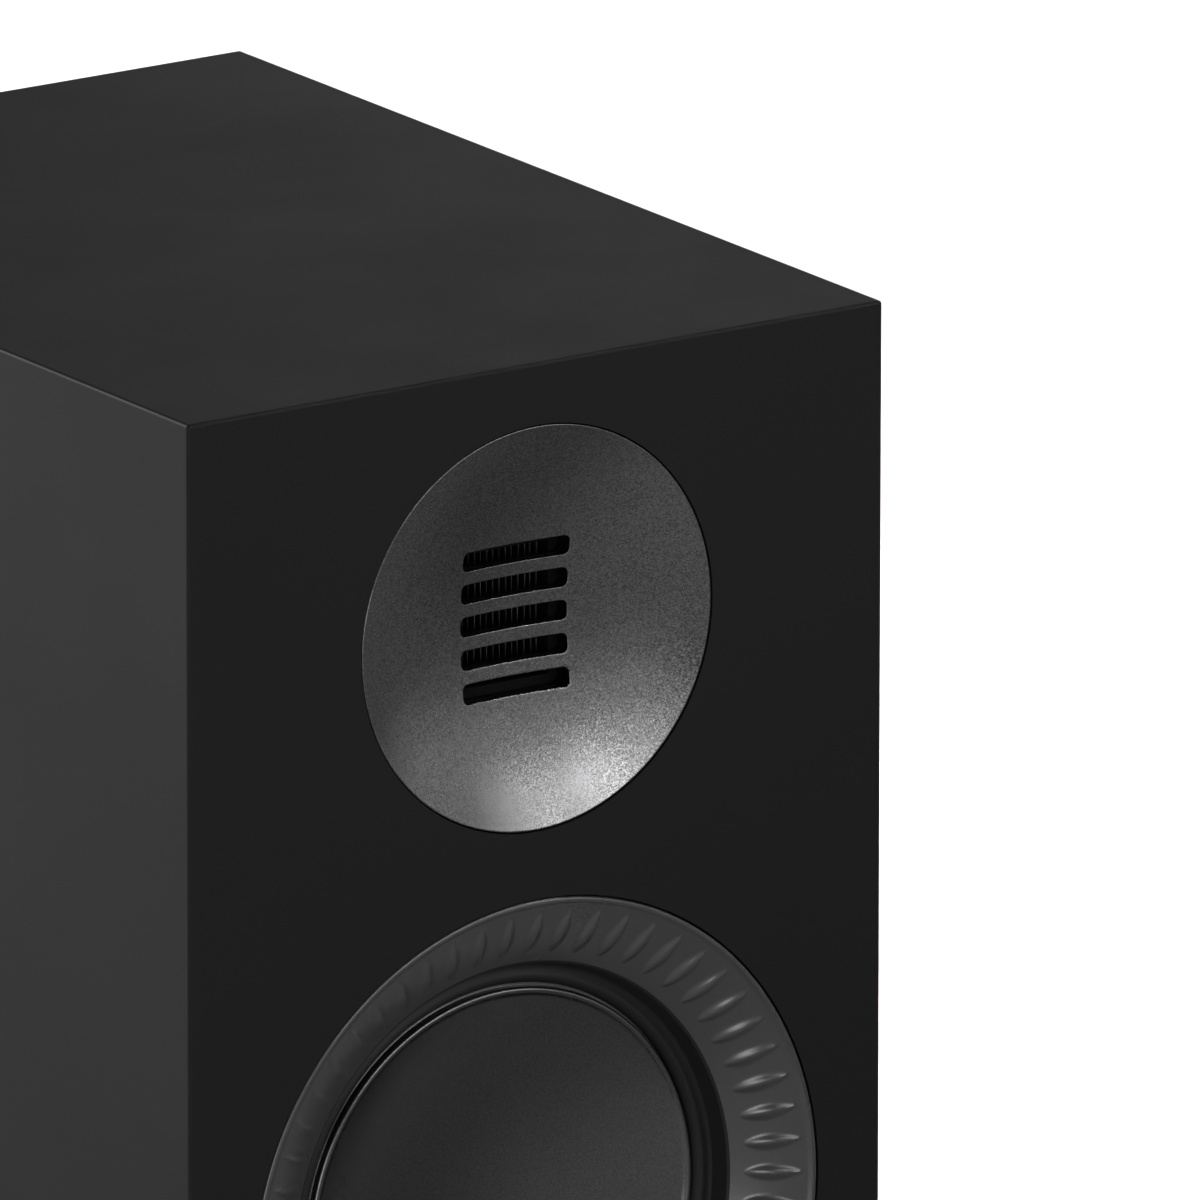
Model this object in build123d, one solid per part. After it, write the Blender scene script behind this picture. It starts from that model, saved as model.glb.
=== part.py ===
"""Bookshelf speaker: a passive two-way cabinet with a folded-ribbon tweeter and a dish woofer.

Millimetres. +Z is up and the front baffle faces -Y. The origin is on the floor, under the middle of
the whole box, which the binding posts' caps end at the back. Round parts of a driver are drawn as
outlines of (radius, depth), where depth runs from the front face into the cabinet, and are turned
round the driver's own axis.
"""

from build123d import *
import math
import os

# ---------------------------------------------------------------- cabinet
WIDTH = 180.0
DEPTH = 252.0
HEIGHT = 290.0
WALL = 12.0
BAFFLE = 18.0
EDGE_ROUND = 0.8
FOOT_HEIGHT = 3.0
FOOT_RADIUS = 8.0
FOOT_INSET = 18.0
CAP_OVERHANG = 12.0  # how far the binding posts' caps stand out behind the back face

FRONT = -(DEPTH + CAP_OVERHANG) / 2
BACK = FRONT + DEPTH
FLOOR = FOOT_HEIGHT
TOP = FLOOR + HEIGHT
MIDDLE_Z = (FLOOR + TOP) / 2
INSIDE_W = WIDTH - 2 * WALL
INSIDE_H = HEIGHT - 2 * WALL

BRACE_THICK = 12.0
BRACE_Y = -14.0
BRACE_RIM = 16.0
BRACE_BAR = 20.0

FOAM_THICK = 14.0
FOAM_LENGTH = 96.0
FOAM_TALL = 190.0
FOAM_GAP = 0.3

# ---------------------------------------------------------------- tweeter
TWEETER_Z = TOP - 59.5
PLATE_R = 45.3
PLATE_GAP = 0.3
PLATE_THICK = 1.2
BOWL_DEEP = 10.1
SKIRT_DEEP = 8.8
RIM_ROUND = 0.5
TWEETER_REBATE = 10.0
TWEETER_HOLE_R = 36.0
SLOT_COUNT = 5
SLOT_LENGTH = 27.6
SLOT_TALL = 4.4
SLOT_PITCH = 7.42
SLOT_CORNER = 1.4
POLE_R = 30.8
POLE_THICK = 1.6
POLE_DEPTH = 11.7
GAP_DEPTH = POLE_DEPTH + POLE_THICK
GAP_LONG = 9.0
PLEAT_COUNT = 14
PLEAT_PITCH = 1.62
PLEAT_DEEP = 5.2
FILM_DEPTH = 15.9
FILM_THICK = 0.25
FILM_TALL = 29.5
CHAMBER_END = 42.0
TAB_WIDE = 4.8
TAB_THICK = 0.8
TWEETER_TAB_END = 50.0
TWEETER_TAB_X = 8.0

# ---------------------------------------------------------------- woofer
WOOFER_Z = TOP - 194.0
RING_R = 73.4
RING_GAP = 0.4
WOOFER_REBATE = 8.5
WOOFER_HOLE_R = 67.3
FLANGE_DEPTH = 5.0
FLANGE_THICK = 2.5
FLANGE_OUT = 72.8
FLANGE_IN = 66.0
DISH_R = 48.3
DISH_DEPTH = 14.0
DISH_SPHERE = 110.0
DISH_THICK = 0.8
BEAD = 0.8
FOOT_DEPTH = 15.4  # plane where the surround's inner foot is glued to the dish's flange
FOOT_OUT = 53.5
BASKET_BASE = 40.0
BASKET_BACK_R = 46.5
LEDGE_DEPTH = 34.0
LEDGE_IN = 40.4
POLE_FACE = 41.0
TOP_PLATE_DEPTH = 43.0
TOP_PLATE_THICK = 5.0
MAGNET_THICK = 15.0
YOKE_THICK = 5.0
COIL_R = 16.9
COIL_LONG = 11.0
WOOFER_TAB_X = 7.0
WOOFER_TAB_END = 52.0
WOOFER_TAB_DROP = 48.2  # how far below the woofer's axis its solder tabs are
LEAD_R = 0.6

# ---------------------------------------------------------------- rear
PORT_Z = 205.0
PORT_R = 19.0
PORT_WALL = 2.5
PORT_LONG = 105.0
PORT_FLARE = 8.0
PORT_FLANGE_R = 33.0
PORT_FLANGE_THICK = 3.0
CUP_Z = 82.0
CUP_WIDE = 92.0
CUP_TALL = 68.0
CUP_FLANGE = 3.0
CUP_OPEN_W = 64.0
CUP_OPEN_H = 42.0
CUP_DEEP = 14.0
CUP_WALL = 2.5
POST_SPACING = 19.05
POST_R = 3.4
PLUG_BORE_R = 2.05
PLUG_BORE_LONG = 12.0
WIRE_HOLE_R = 1.5
CAP_R = 7.5
CAP_RIBS = 24
CAP_LONG = 19.0
WASHER_THICK = 1.0
BASE_THICK = 3.0
THREAD_CLEARANCE = 0.06
THREAD_RELIEF = 0.3  # the cap's bore is this much wider than the post over the cross hole
THREAD_RELIEF_LONG = 4.2

# ---------------------------------------------------------------- crossover
BOARD_X = 100.0
BOARD_Y = 70.0
BOARD_THICK = 1.6
BOARD_CENTRE_Y = 52.0
STANDOFF = 6.0

# ---------------------------------------------------------------- fasteners and clearances
SCREW_R = 1.75
SCREW_HEAD_R = 3.2
TOUCH = 0.1  # gap between parts that are pushed together
CORNERS = [(-1, -1), (1, -1), (1, 1), (-1, 1)]
WIRE_R = 1.0


def outline(start, *steps):
    """A closed face: each step is a point for a straight line, or (middle, end) for an arc."""
    edges = []
    here = start
    for step in steps:
        if isinstance(step[0], tuple):
            edges.append(ThreePointArc(here, step[0], step[1]))
            here = step[1]
        else:
            edges.append(Line(here, step))
            here = step
    if here != start:
        edges.append(Line(here, start))
    return make_face(edges)


def spin(face, height):
    """A face of (radius, depth) turned round the driver axis at that height."""
    plane = Plane(origin=(0, FRONT, height), x_dir=(1, 0, 0), z_dir=(0, 0, 1))
    return revolve(plane * face, Axis((0, 0, height), (0, 1, 0)), 360)


def ring(outer, inner, near, far, height):
    """A plain ring or disc between two depths."""
    return spin(outline((inner, near), (outer, near), (outer, far), (inner, far)), height)


def rod(radius, y_near, y_far, x, z):
    """A cylinder along Y between two places."""
    bar = Cylinder(radius, y_far - y_near, align=(Align.CENTER, Align.CENTER, Align.MIN))
    return Pos(x, y_near, z) * Rot(-90, 0, 0) * bar


def block(size, centre):
    """A box with its size and centre."""
    return Pos(*centre) * Box(*size)


def slab(wide, tall, corner, y_near, y_far, x, z):
    """A plate of rounded-rectangle outline, facing along Y."""
    face = RectangleRounded(wide, tall, corner)
    plane = Plane(origin=(x, y_near, z), x_dir=(1, 0, 0), z_dir=(0, -1, 0))
    return extrude(plane * face, -(y_far - y_near))


def round_pattern(radius, count, height, first=0.0):
    """Places (x, z) evenly round a driver's axis."""
    turns = [math.radians(first + 360.0 * n / count) for n in range(count)]
    return [(radius * math.cos(a), height + radius * math.sin(a)) for a in turns]


def drive(x, y, z):
    """The cross recess of a screw head that faces along Y."""
    long, wide, deep = SCREW_HEAD_R * 1.3, 0.8, 1.0
    return block((long, deep, wide), (x, y, z)) + block((wide, deep, long), (x, y, z))


def screws(places, y_head, head_long, length):
    """Pan-head screws pointing into the cabinet along +Y, as separate solids."""
    y_neck = y_head + head_long
    return [
        rod(SCREW_HEAD_R, y_head, y_neck, x, z)
        - drive(x, y_head, z)
        + rod(SCREW_R, y_neck, y_neck + length, x, z)
        for x, z in places
    ]


def wire(points, radius):
    """A round wire: straight runs joined by tangent arcs, as large as the runs allow."""
    radii = []
    for before, here, after in zip(points, points[1:], points[2:]):
        back, ahead = Vector(*before) - Vector(*here), Vector(*after) - Vector(*here)
        half_turn = math.radians(180 - back.get_angle(ahead)) / 2
        radii.append(0.45 * min(back.length, ahead.length) / math.tan(half_turn))
    path = FilletPolyline(*points, radius=radii)
    tube = sweep(Plane(origin=path @ 0, z_dir=path % 0) * Circle(radius), path=path)
    share = tube.volume / (math.pi * radius**2 * path.length)
    print("wire: radii", [round(r, 1) for r in radii], "volume over section x length", round(share, 4))
    return tube


def pilot_holes(places, y_near, deep):
    """Screw holes along +Y, the size of the shank plus a running gap."""
    return [rod(SCREW_R + TOUCH, y_near, y_near + deep, x, z) for x, z in places]


# ================================================================ cabinet
TWEETER_SCREWS = round_pattern(40.5, 4, TWEETER_Z, 45)
WOOFER_SCREWS = round_pattern(70.3, 6, WOOFER_Z, 30)
CUP_SCREWS = [(sx * (CUP_WIDE / 2 - 6), CUP_Z + sz * (CUP_TALL / 2 - 6)) for sx, sz in CORNERS]


def wrap():
    """The cabinet's four walls as one rounded tube, before it is cut at its mitres."""
    long = DEPTH - BAFFLE
    centre = (0, FRONT + BAFFLE + long / 2, MIDDLE_Z)
    outside = block((WIDTH, long, HEIGHT), centre)
    outside = fillet(outside.edges().filter_by(Axis.Y), EDGE_ROUND)
    return outside - block((INSIDE_W, long + 1, INSIDE_H), centre)


def mitre_wedge(first, second):
    """The space of the wall between two corners, cut at 45 degrees at each of them."""
    inward, outward = -WALL - 10.0, 10.0

    def on_mitre(corner, out):
        return corner[0] * (WIDTH / 2 + out), corner[1] * (HEIGHT / 2 + out)

    points = [
        on_mitre(first, inward),
        on_mitre(first, outward),
        on_mitre(second, outward),
        on_mitre(second, inward),
    ]
    face = make_face(Polyline(*points, close=True))
    plane = Plane(origin=(0, FRONT - 1, MIDDLE_Z), x_dir=(1, 0, 0), z_dir=(0, -1, 0))
    return extrude(plane * face, -(DEPTH + 2))


def front_baffle():
    """The front panel, with a stepped seat for each driver."""
    panel = block((WIDTH, BAFFLE, HEIGHT), (0, FRONT + BAFFLE / 2, MIDDLE_Z))
    face_edges = panel.faces().sort_by(Axis.Y)[0].edges()
    panel = fillet(face_edges + panel.edges().filter_by(Axis.Y), EDGE_ROUND)
    panel -= ring(PLATE_R + PLATE_GAP, 0, -1, TWEETER_REBATE, TWEETER_Z)
    panel -= ring(TWEETER_HOLE_R, 0, -1, BAFFLE + 1, TWEETER_Z)
    panel -= ring(RING_R + RING_GAP, 0, -1, WOOFER_REBATE, WOOFER_Z)
    panel -= ring(WOOFER_HOLE_R, 0, -1, BAFFLE + 1, WOOFER_Z)
    for hole in pilot_holes(TWEETER_SCREWS, FRONT + TWEETER_REBATE - 1, 8.6):
        panel -= hole
    for hole in pilot_holes(WOOFER_SCREWS, FRONT + WOOFER_REBATE - 1, 9.6):
        panel -= hole
    return panel


def back_panel():
    """The rear panel, let in between the four walls."""
    size = (INSIDE_W, WALL, INSIDE_H)
    panel = block(size, (0, BACK - WALL / 2, MIDDLE_Z))
    panel = chamfer(panel.faces().sort_by(Axis.Y)[-1].edges(), 0.5)
    flange_seat = PORT_FLANGE_R + TOUCH
    panel -= rod(flange_seat, BACK - PORT_FLANGE_THICK, BACK + 1, 0, PORT_Z)
    panel -= rod(PORT_R + PORT_FLARE + PORT_WALL, BACK - WALL - 1, BACK + 1, 0, PORT_Z)
    cup_hole = (CUP_OPEN_W + 2 * CUP_WALL + 2, CUP_OPEN_H + 2 * CUP_WALL + 2)
    panel -= slab(*cup_hole, 6, BACK - WALL - 1, BACK + 1, 0, CUP_Z)
    for x, z in CUP_SCREWS:
        panel -= rod(SCREW_R + TOUCH, BACK - 10, BACK + 1, x, z)
    return panel


def window_brace():
    """A board with four windows that ties the walls together half way back."""
    board = block((INSIDE_W, BRACE_THICK, INSIDE_H), (0, BRACE_Y, MIDDLE_Z))
    wide = (INSIDE_W - 2 * BRACE_RIM - BRACE_BAR) / 2
    tall = (INSIDE_H - 2 * BRACE_RIM - BRACE_BAR) / 2
    near, far = BRACE_Y - BRACE_THICK, BRACE_Y + BRACE_THICK
    for sx, sz in CORNERS:
        x = sx * (wide + BRACE_BAR) / 2
        z = MIDDLE_Z + sz * (tall + BRACE_BAR) / 2
        board -= slab(wide, tall, 12, near, far, x, z)
    return board


def damping_foam(side):
    """A plain block in the space of one wall's foam lining, behind the brace."""
    x = side * (INSIDE_W / 2 - FOAM_GAP - FOAM_THICK / 2)
    y = BRACE_Y + BRACE_THICK / 2 + 4 + FOAM_LENGTH / 2
    return block((FOAM_THICK, FOAM_LENGTH, FOAM_TALL), (x, y, MIDDLE_Z))


def rubber_feet():
    """Four stick-on feet, one solid each."""
    made = []
    for sx, sy in CORNERS:
        x = sx * (WIDTH / 2 - FOOT_INSET)
        y = (FRONT + BACK) / 2 + sy * (DEPTH / 2 - FOOT_INSET)
        foot = Pos(x, y, FOOT_HEIGHT / 2) * Cylinder(FOOT_RADIUS, FOOT_HEIGHT)
        made.append(chamfer(foot.faces().sort_by(Axis.Z)[0].edges(), 0.6))
    return made


# ================================================================ tweeter
def sphere_radius(chord, rise):
    """Radius of the sphere whose cap has that chord radius and rise."""
    return (chord * chord + rise * rise) / (2 * rise)


BOWL_SPHERE = sphere_radius(PLATE_R, BOWL_DEEP)


def bowl_depth(radius, shift=0.0):
    """Depth of the bowl's face at a radius; shift moves the face back along its own normal."""
    centre = BOWL_DEEP - BOWL_SPHERE
    return centre + math.sqrt((BOWL_SPHERE + shift) ** 2 - radius * radius)


def slot_rows():
    """Heights of the sound slots' middles above the tweeter's axis."""
    return [SLOT_PITCH * (n - (SLOT_COUNT - 1) / 2) for n in range(SLOT_COUNT)]


def sound_slots(y_near, y_far, grow=0.0):
    """The five slots as cutting solids."""
    corner = SLOT_CORNER + grow
    size = (SLOT_LENGTH + 2 * grow, SLOT_TALL + 2 * grow)
    return [slab(*size, corner, y_near, y_far, 0, TWEETER_Z + row) for row in slot_rows()]


def tweeter_faceplate():
    """The aluminium bowl with its skirt, which is pushed over the chassis ring."""
    edge = PLATE_R - RIM_ROUND
    inner = PLATE_R - PLATE_THICK
    shell = outline(
        (0, BOWL_DEEP),
        ((edge / 2, bowl_depth(edge / 2)), (edge, bowl_depth(edge))),
        ((PLATE_R - 0.15, 0.2), (PLATE_R, RIM_ROUND)),
        (PLATE_R, SKIRT_DEEP),
        (inner, SKIRT_DEEP),
        (inner, bowl_depth(inner, PLATE_THICK)),
        ((inner / 2, bowl_depth(inner / 2, PLATE_THICK)), (0, BOWL_DEEP + PLATE_THICK)),
    )
    plate = spin(shell, TWEETER_Z)
    for slot in sound_slots(FRONT, FRONT + BOWL_DEEP + 4):
        plate -= slot
    return plate


def tweeter_chassis():
    """The plastic body: a flange for the screws and a tube that holds the motor."""
    body = outline(
        (33.0, 6.5),
        (43.9, 6.5),
        (43.9, TWEETER_REBATE - 1),
        (35.5, TWEETER_REBATE - 1),
        (35.5, 28.0),
        (31.0, 28.0),
        (31.0, 7.4),
        (33.0, 7.4),
    )
    chassis = spin(body, TWEETER_Z)
    for hole in pilot_holes(TWEETER_SCREWS, FRONT + 5, 6):
        chassis -= hole
    return chassis


def tweeter_gasket():
    """The thin foam ring between the chassis flange and the baffle."""
    gasket = ring(44.0, 37.0, TWEETER_REBATE - 1, TWEETER_REBATE, TWEETER_Z)
    for hole in pilot_holes(TWEETER_SCREWS, FRONT + TWEETER_REBATE - 2, 3):
        gasket -= hole
    return gasket


def pole_plate(near):
    """A steel pole plate with sound slots that line up with the bowl's."""
    plate = ring(POLE_R, 0, near, near + POLE_THICK, TWEETER_Z)
    for slot in sound_slots(FRONT + near - 1, FRONT + near + POLE_THICK + 1, 0.2):
        plate -= slot
    return plate


def film_frame():
    """The frame that holds the folded film's edges."""
    wide, tall = PLEAT_COUNT * PLEAT_PITCH, FILM_TALL
    near, far = FRONT + GAP_DEPTH, FRONT + GAP_DEPTH + GAP_LONG
    frame = slab(40, 42, 2, near, far, 0, TWEETER_Z)
    return frame - slab(wide + 0.6, tall + 0.6, 0.5, near - 1, far + 1, 0, TWEETER_Z)


def folded_film():
    """The folded diaphragm: one thin sheet whose zigzag runs across the window."""
    points = []
    for n in range(2 * PLEAT_COUNT + 1):
        x = (n / 2 - PLEAT_COUNT / 2) * PLEAT_PITCH
        points.append((x, FILM_DEPTH + (PLEAT_DEEP if n % 2 == 0 else 0.0)))
    half = FILM_THICK * 1.75  # the sheet's thickness along Y, because its walls are steep
    back_side = [(x, depth + half) for x, depth in reversed(points)]
    face = make_face(Polyline(*points, *back_side, close=True))
    plane = Plane(
        origin=(0, FRONT, TWEETER_Z - FILM_TALL / 2), x_dir=(1, 0, 0), z_dir=(0, 0, 1)
    )
    return extrude(plane * face, FILM_TALL)


def tweeter_magnets():
    """Two bar magnets beside the film frame."""
    size = (5.2, GAP_LONG, 32.0)
    y = FRONT + GAP_DEPTH + GAP_LONG / 2
    return [block(size, (side * 22.8, y, TWEETER_Z)) for side in (-1, 1)]


def tweeter_rear_chamber():
    """The closed cup behind the motor."""
    near = GAP_DEPTH + GAP_LONG + POLE_THICK
    inner, floor = POLE_R - 2.0, CHAMBER_END - 2.0
    cup = outline(
        (inner, near),
        (POLE_R, near),
        (POLE_R, CHAMBER_END),
        (0, CHAMBER_END),
        (0, floor),
        (inner, floor),
    )
    return spin(cup, TWEETER_Z)


def solder_tabs(side_x, height, near, far):
    """A pair of flat brass tabs that point into the cabinet between two depths."""
    size = (TAB_WIDE, far - near, TAB_THICK)
    return [block(size, (x, FRONT + (near + far) / 2, height)) for x in (-side_x, side_x)]


# ================================================================ woofer
def dish_depth(radius, shift=0.0):
    """Depth of the dish's face at a radius; shift moves it back along its own normal."""
    centre = DISH_DEPTH - math.sqrt(DISH_SPHERE**2 - DISH_R**2)
    return centre + math.sqrt((DISH_SPHERE + shift) ** 2 - radius * radius)


def woofer_dish():
    """The one-piece concave diaphragm, its rounded rim and the flange round it."""
    bead_out = DISH_R + 2 * BEAD
    back_r = DISH_R - 0.4
    profile = outline(
        (0, dish_depth(0)),
        ((DISH_R / 2, dish_depth(DISH_R / 2)), (DISH_R, DISH_DEPTH)),
        ((DISH_R + BEAD, DISH_DEPTH - 0.55), (bead_out, DISH_DEPTH + 0.5)),
        (bead_out, FOOT_DEPTH),
        (FOOT_OUT, FOOT_DEPTH),
        (FOOT_OUT, FOOT_DEPTH + 0.9),
        (back_r, FOOT_DEPTH + 0.9),
        (back_r, dish_depth(back_r, DISH_THICK)),
        (
            (back_r / 2, dish_depth(back_r / 2, DISH_THICK)),
            (0, dish_depth(0, DISH_THICK)),
        ),
    )
    return spin(profile, WOOFER_Z)


def surround():
    """The rubber ring: it leans in from the baffle to the dish and hides the screws."""
    profile = outline(
        (RING_R - 0.4, 0.05),
        ((64.6, 4.05), (55.6, 10.3)),
        ((54.2, 11.6), (53.6, 13.4)),
        ((52.0, 13.1), (50.9, 14.3)),
        (50.4, FOOT_DEPTH),
        (FOOT_OUT, FOOT_DEPTH),
        ((55.9, 12.3), (56.9, 11.0)),
        ((61.5, 7.35), (FLANGE_IN - 0.2, FLANGE_DEPTH)),
        (RING_R, FLANGE_DEPTH),
        (RING_R, 0.45),
        ((RING_R - 0.12, 0.17), (RING_R - 0.4, 0.05)),
    )
    return spin(profile, WOOFER_Z)


def woofer_basket():
    """The cast frame: flange, six spokes, a ledge for the spider and a base for the motor."""
    wall = 2.2
    flange_back = FLANGE_DEPTH + FLANGE_THICK
    ledge = LEDGE_DEPTH
    profile = outline(
        (FLANGE_IN, FLANGE_DEPTH),
        (FLANGE_OUT, FLANGE_DEPTH),
        (FLANGE_OUT, flange_back),
        (FLANGE_IN + 0.6, flange_back),
        (FLANGE_IN - 2.0, 12.0),
        (BASKET_BACK_R, ledge + wall),
        (BASKET_BACK_R, TOP_PLATE_DEPTH),
        (22.0, TOP_PLATE_DEPTH),
        (22.0, BASKET_BASE),
        (44.0, BASKET_BASE),
        (44.0, ledge + wall),
        (LEDGE_IN, ledge + wall),
        (LEDGE_IN, ledge),
        (45.5, ledge),
        (FLANGE_IN - 4.2, 12.0),
    )
    basket = spin(profile, WOOFER_Z)
    for n in range(6):
        window = slab(26, 40, 4, FRONT + 14, FRONT + 31, 0, 62)
        basket -= Pos(0, 0, WOOFER_Z) * Rot(0, 60 * n, 0) * window
    for hole in pilot_holes(WOOFER_SCREWS, FRONT + FLANGE_DEPTH - 1, 6):
        basket -= hole
    for x, z in WOOFER_SCREWS:
        basket -= rod(SCREW_HEAD_R + TOUCH, FRONT + 4, FRONT + FLANGE_DEPTH + 1.5, x, z)
    return basket


def woofer_gasket():
    """The foam ring behind the basket's flange."""
    near = FLANGE_DEPTH + FLANGE_THICK
    gasket = ring(FLANGE_OUT, WOOFER_HOLE_R + 0.2, near, WOOFER_REBATE, WOOFER_Z)
    for hole in pilot_holes(WOOFER_SCREWS, FRONT + near - 1, 3):
        gasket -= hole
    return gasket


def spider():
    """The corrugated cloth disc that centres the voice coil: half rolls, one after another."""
    inner, landing, rim = COIL_R + 0.3, LEDGE_IN - 0.4, 44.5
    rolls, sag, thick, collar = 8, 1.1, 0.5, 1.5
    pitch = (landing - inner - collar) / rolls
    levels = (LEDGE_DEPTH - thick, LEDGE_DEPTH)
    edges = [Line((r, levels[0]), (r, levels[1])) for r in (inner, rim)]
    for level in levels:
        edges.append(Line((inner, level), (inner + collar, level)))
        for n in range(rolls):
            start = inner + collar + n * pitch
            lift = sag if n % 2 else -sag
            edges.append(
                ThreePointArc(
                    (start, level), (start + pitch / 2, level + lift), (start + pitch, level)
                )
            )
        edges.append(Line((landing, level), (rim, level)))
    return spin(make_face(edges), WOOFER_Z)


def voice_coil_former():
    """The thin tube glued to the back of the dish, cut to the dish's curve at its front end."""
    tube = ring(COIL_R, COIL_R - 0.4, 20.0, 52.0, WOOFER_Z)
    centre_y = FRONT + DISH_DEPTH - math.sqrt(DISH_SPHERE**2 - DISH_R**2)
    return tube - Pos(0, centre_y, WOOFER_Z) * Sphere(DISH_SPHERE + DISH_THICK)


def voice_coil():
    """The copper winding on the end of the former, half way through the magnet's gap."""
    middle = TOP_PLATE_DEPTH + TOP_PLATE_THICK / 2
    near, far = middle - COIL_LONG / 2, middle + COIL_LONG / 2
    return ring(COIL_R + 0.4, COIL_R, near, far, WOOFER_Z)


def woofer_yoke():
    """The steel back plate and its pole, with a vent through the middle."""
    plate = TOP_PLATE_DEPTH + TOP_PLATE_THICK + MAGNET_THICK
    profile = outline(
        (5.0, POLE_FACE),
        (COIL_R - 0.9, POLE_FACE),
        (COIL_R - 0.9, plate),
        (42.0, plate),
        (42.0, plate + YOKE_THICK - 1.5),
        (40.5, plate + YOKE_THICK),
        (5.0, plate + YOKE_THICK),
    )
    return spin(profile, WOOFER_Z)


def woofer_terminal_board():
    """The small board under the basket that carries the solder tabs."""
    middle = FRONT + (LEDGE_DEPTH + TOP_PLATE_DEPTH) / 2 + 1
    top, low = WOOFER_Z - 44.2, WOOFER_Z - WOOFER_TAB_DROP + TAB_THICK / 2
    board = block((24, 6.5, top - low), (0, middle, (top + low) / 2))
    return board - ring(BASKET_BACK_R, 0, LEDGE_DEPTH, TOP_PLATE_DEPTH, WOOFER_Z)


def tinsel_leads():
    """Two braided leads from the voice coil's former out through a window to the tabs."""
    made = []
    for side in (-1, 1):
        route = [
            (side * 4.0, 28.5, -16.9),
            (side * 4.6, 27.4, -25.0),
            (side * 5.6, 27.0, -37.0),
            (side * 6.6, 27.8, -47.0),
            (side * 7.0, 32.5, -53.5),
            (side * 7.0, 38.0, -56.5),
            (side * 7.0, 43.0, -54.8),
            (side * 7.0, 43.0, -WOOFER_TAB_DROP - TAB_THICK / 2),
        ]
        made.append(wire([(x, FRONT + deep, WOOFER_Z + z) for x, deep, z in route], LEAD_R))
    return made


# ================================================================ rear fittings
def port_tube():
    """The bass port: a flange, a flared mouth and a straight tube with a flared inner end."""
    half = PORT_FLARE * (1 - math.sqrt(0.5))
    out = PORT_R + PORT_FLARE
    wall = PORT_R + PORT_WALL
    mouth = BACK - FRONT
    inner_end = mouth - PORT_LONG
    profile = outline(
        (out, mouth),
        (PORT_FLANGE_R - 0.8, mouth),
        (PORT_FLANGE_R, mouth - 0.8),
        (PORT_FLANGE_R, mouth - PORT_FLANGE_THICK),
        (out + 1.5, mouth - PORT_FLANGE_THICK),
        ((wall + half, mouth - PORT_FLARE + 1.2), (wall, mouth - PORT_FLARE - 3)),
        (wall, inner_end + 3),
        (wall + 2.5, inner_end),
        (PORT_R + 2.5, inner_end),
        ((PORT_R + 0.73, inner_end + 0.73), (PORT_R, inner_end + 2.5)),
        (PORT_R, mouth - PORT_FLARE),
        ((PORT_R + half, mouth - half), (out, mouth)),
    )
    return spin(profile, PORT_Z)


def terminal_cup():
    """The moulded rear plate with a sunk floor that carries the binding posts."""
    face = BACK + CUP_FLANGE
    floor = face - CUP_DEEP
    cup = slab(CUP_WIDE, CUP_TALL, 7, BACK, face, 0, CUP_Z)
    cup = chamfer(cup.faces().sort_by(Axis.Y)[-1].edges(), 0.8)
    shell = (CUP_OPEN_W + 2 * CUP_WALL, CUP_OPEN_H + 2 * CUP_WALL)
    cup += slab(*shell, 6 + CUP_WALL, floor - CUP_WALL, BACK, 0, CUP_Z)
    cup -= slab(CUP_OPEN_W, CUP_OPEN_H, 6, floor, face + 1, 0, CUP_Z)
    for x in post_places():
        cup -= rod(POST_R + TOUCH, floor - CUP_WALL - 1, floor + 1, x, CUP_Z)
    for x, z in CUP_SCREWS:
        cup -= rod(SCREW_R + TOUCH, BACK - 1, face + 1, x, z)
        cup -= rod(SCREW_HEAD_R + TOUCH, face - 1.4, face + 1, x, z)
    return cup


def cup_screws():
    """Four screws that hold the terminal cup, pointing into the cabinet along -Y."""
    face = BACK + CUP_FLANGE
    made = []
    for x, z in CUP_SCREWS:
        head = rod(SCREW_HEAD_R, face - 1.4, face - 0.2, x, z)
        shank = rod(SCREW_R, face - 12, face - 1.4, x, z)
        made.append(head - drive(x, face - 0.2, z) + shank)
    return made


def post_places():
    """X of the two binding posts."""
    return [-POST_SPACING / 2, POST_SPACING / 2]


CUP_FLOOR = BACK + CUP_FLANGE - CUP_DEEP
WASHER_Y = CUP_FLOOR + BASE_THICK
CAP_Y = WASHER_Y + WASHER_THICK
CAP_END = CAP_Y + CAP_LONG
POST_END = CAP_END - 2.5
WIRE_HOLE_Y = CAP_Y + 2.0
POST_BACK = CUP_FLOOR - CUP_WALL - 8.0


def binding_post(x):
    """One metal post: a shaft with a plug bore in its end and a cross hole for bare wire."""
    shaft = rod(POST_R, POST_BACK, POST_END, x, CUP_Z)
    shaft -= rod(PLUG_BORE_R, POST_END - PLUG_BORE_LONG, POST_END + 1, x, CUP_Z)
    shaft = chamfer(shaft.faces().sort_by(Axis.Y)[-1].edges(), 0.3)
    cross = Pos(x, WIRE_HOLE_Y, CUP_Z) * Rot(0, 90, 0) * Cylinder(WIRE_HOLE_R, 4 * POST_R)
    return shaft - cross


def post_base(x):
    """The moulded collar between the cup's floor and the clamp."""
    base = rod(CAP_R, CUP_FLOOR, WASHER_Y, x, CUP_Z)
    return base - rod(POST_R + TOUCH, CUP_FLOOR - 1, WASHER_Y + 1, x, CUP_Z)


def post_nuts():
    """A hexagon nut on each post behind the cup's floor."""
    far = CUP_FLOOR - CUP_WALL
    made = []
    for x in post_places():
        plane = Plane(origin=(x, far, CUP_Z), x_dir=(1, 0, 0), z_dir=(0, -1, 0))
        nut = extrude(plane * RegularPolygon(6.0, 6), 4)
        made.append(nut - rod(POST_R + TOUCH, far - 5, far + 1, x, CUP_Z))
    return made


def clamp_washer(x):
    """The metal washer that the cap pushes on to the wire or spade."""
    washer = rod(CAP_R - 1, WASHER_Y, CAP_Y, x, CUP_Z)
    return washer - rod(POST_R + THREAD_CLEARANCE, WASHER_Y - 1, CAP_Y + 1, x, CUP_Z)


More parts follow.
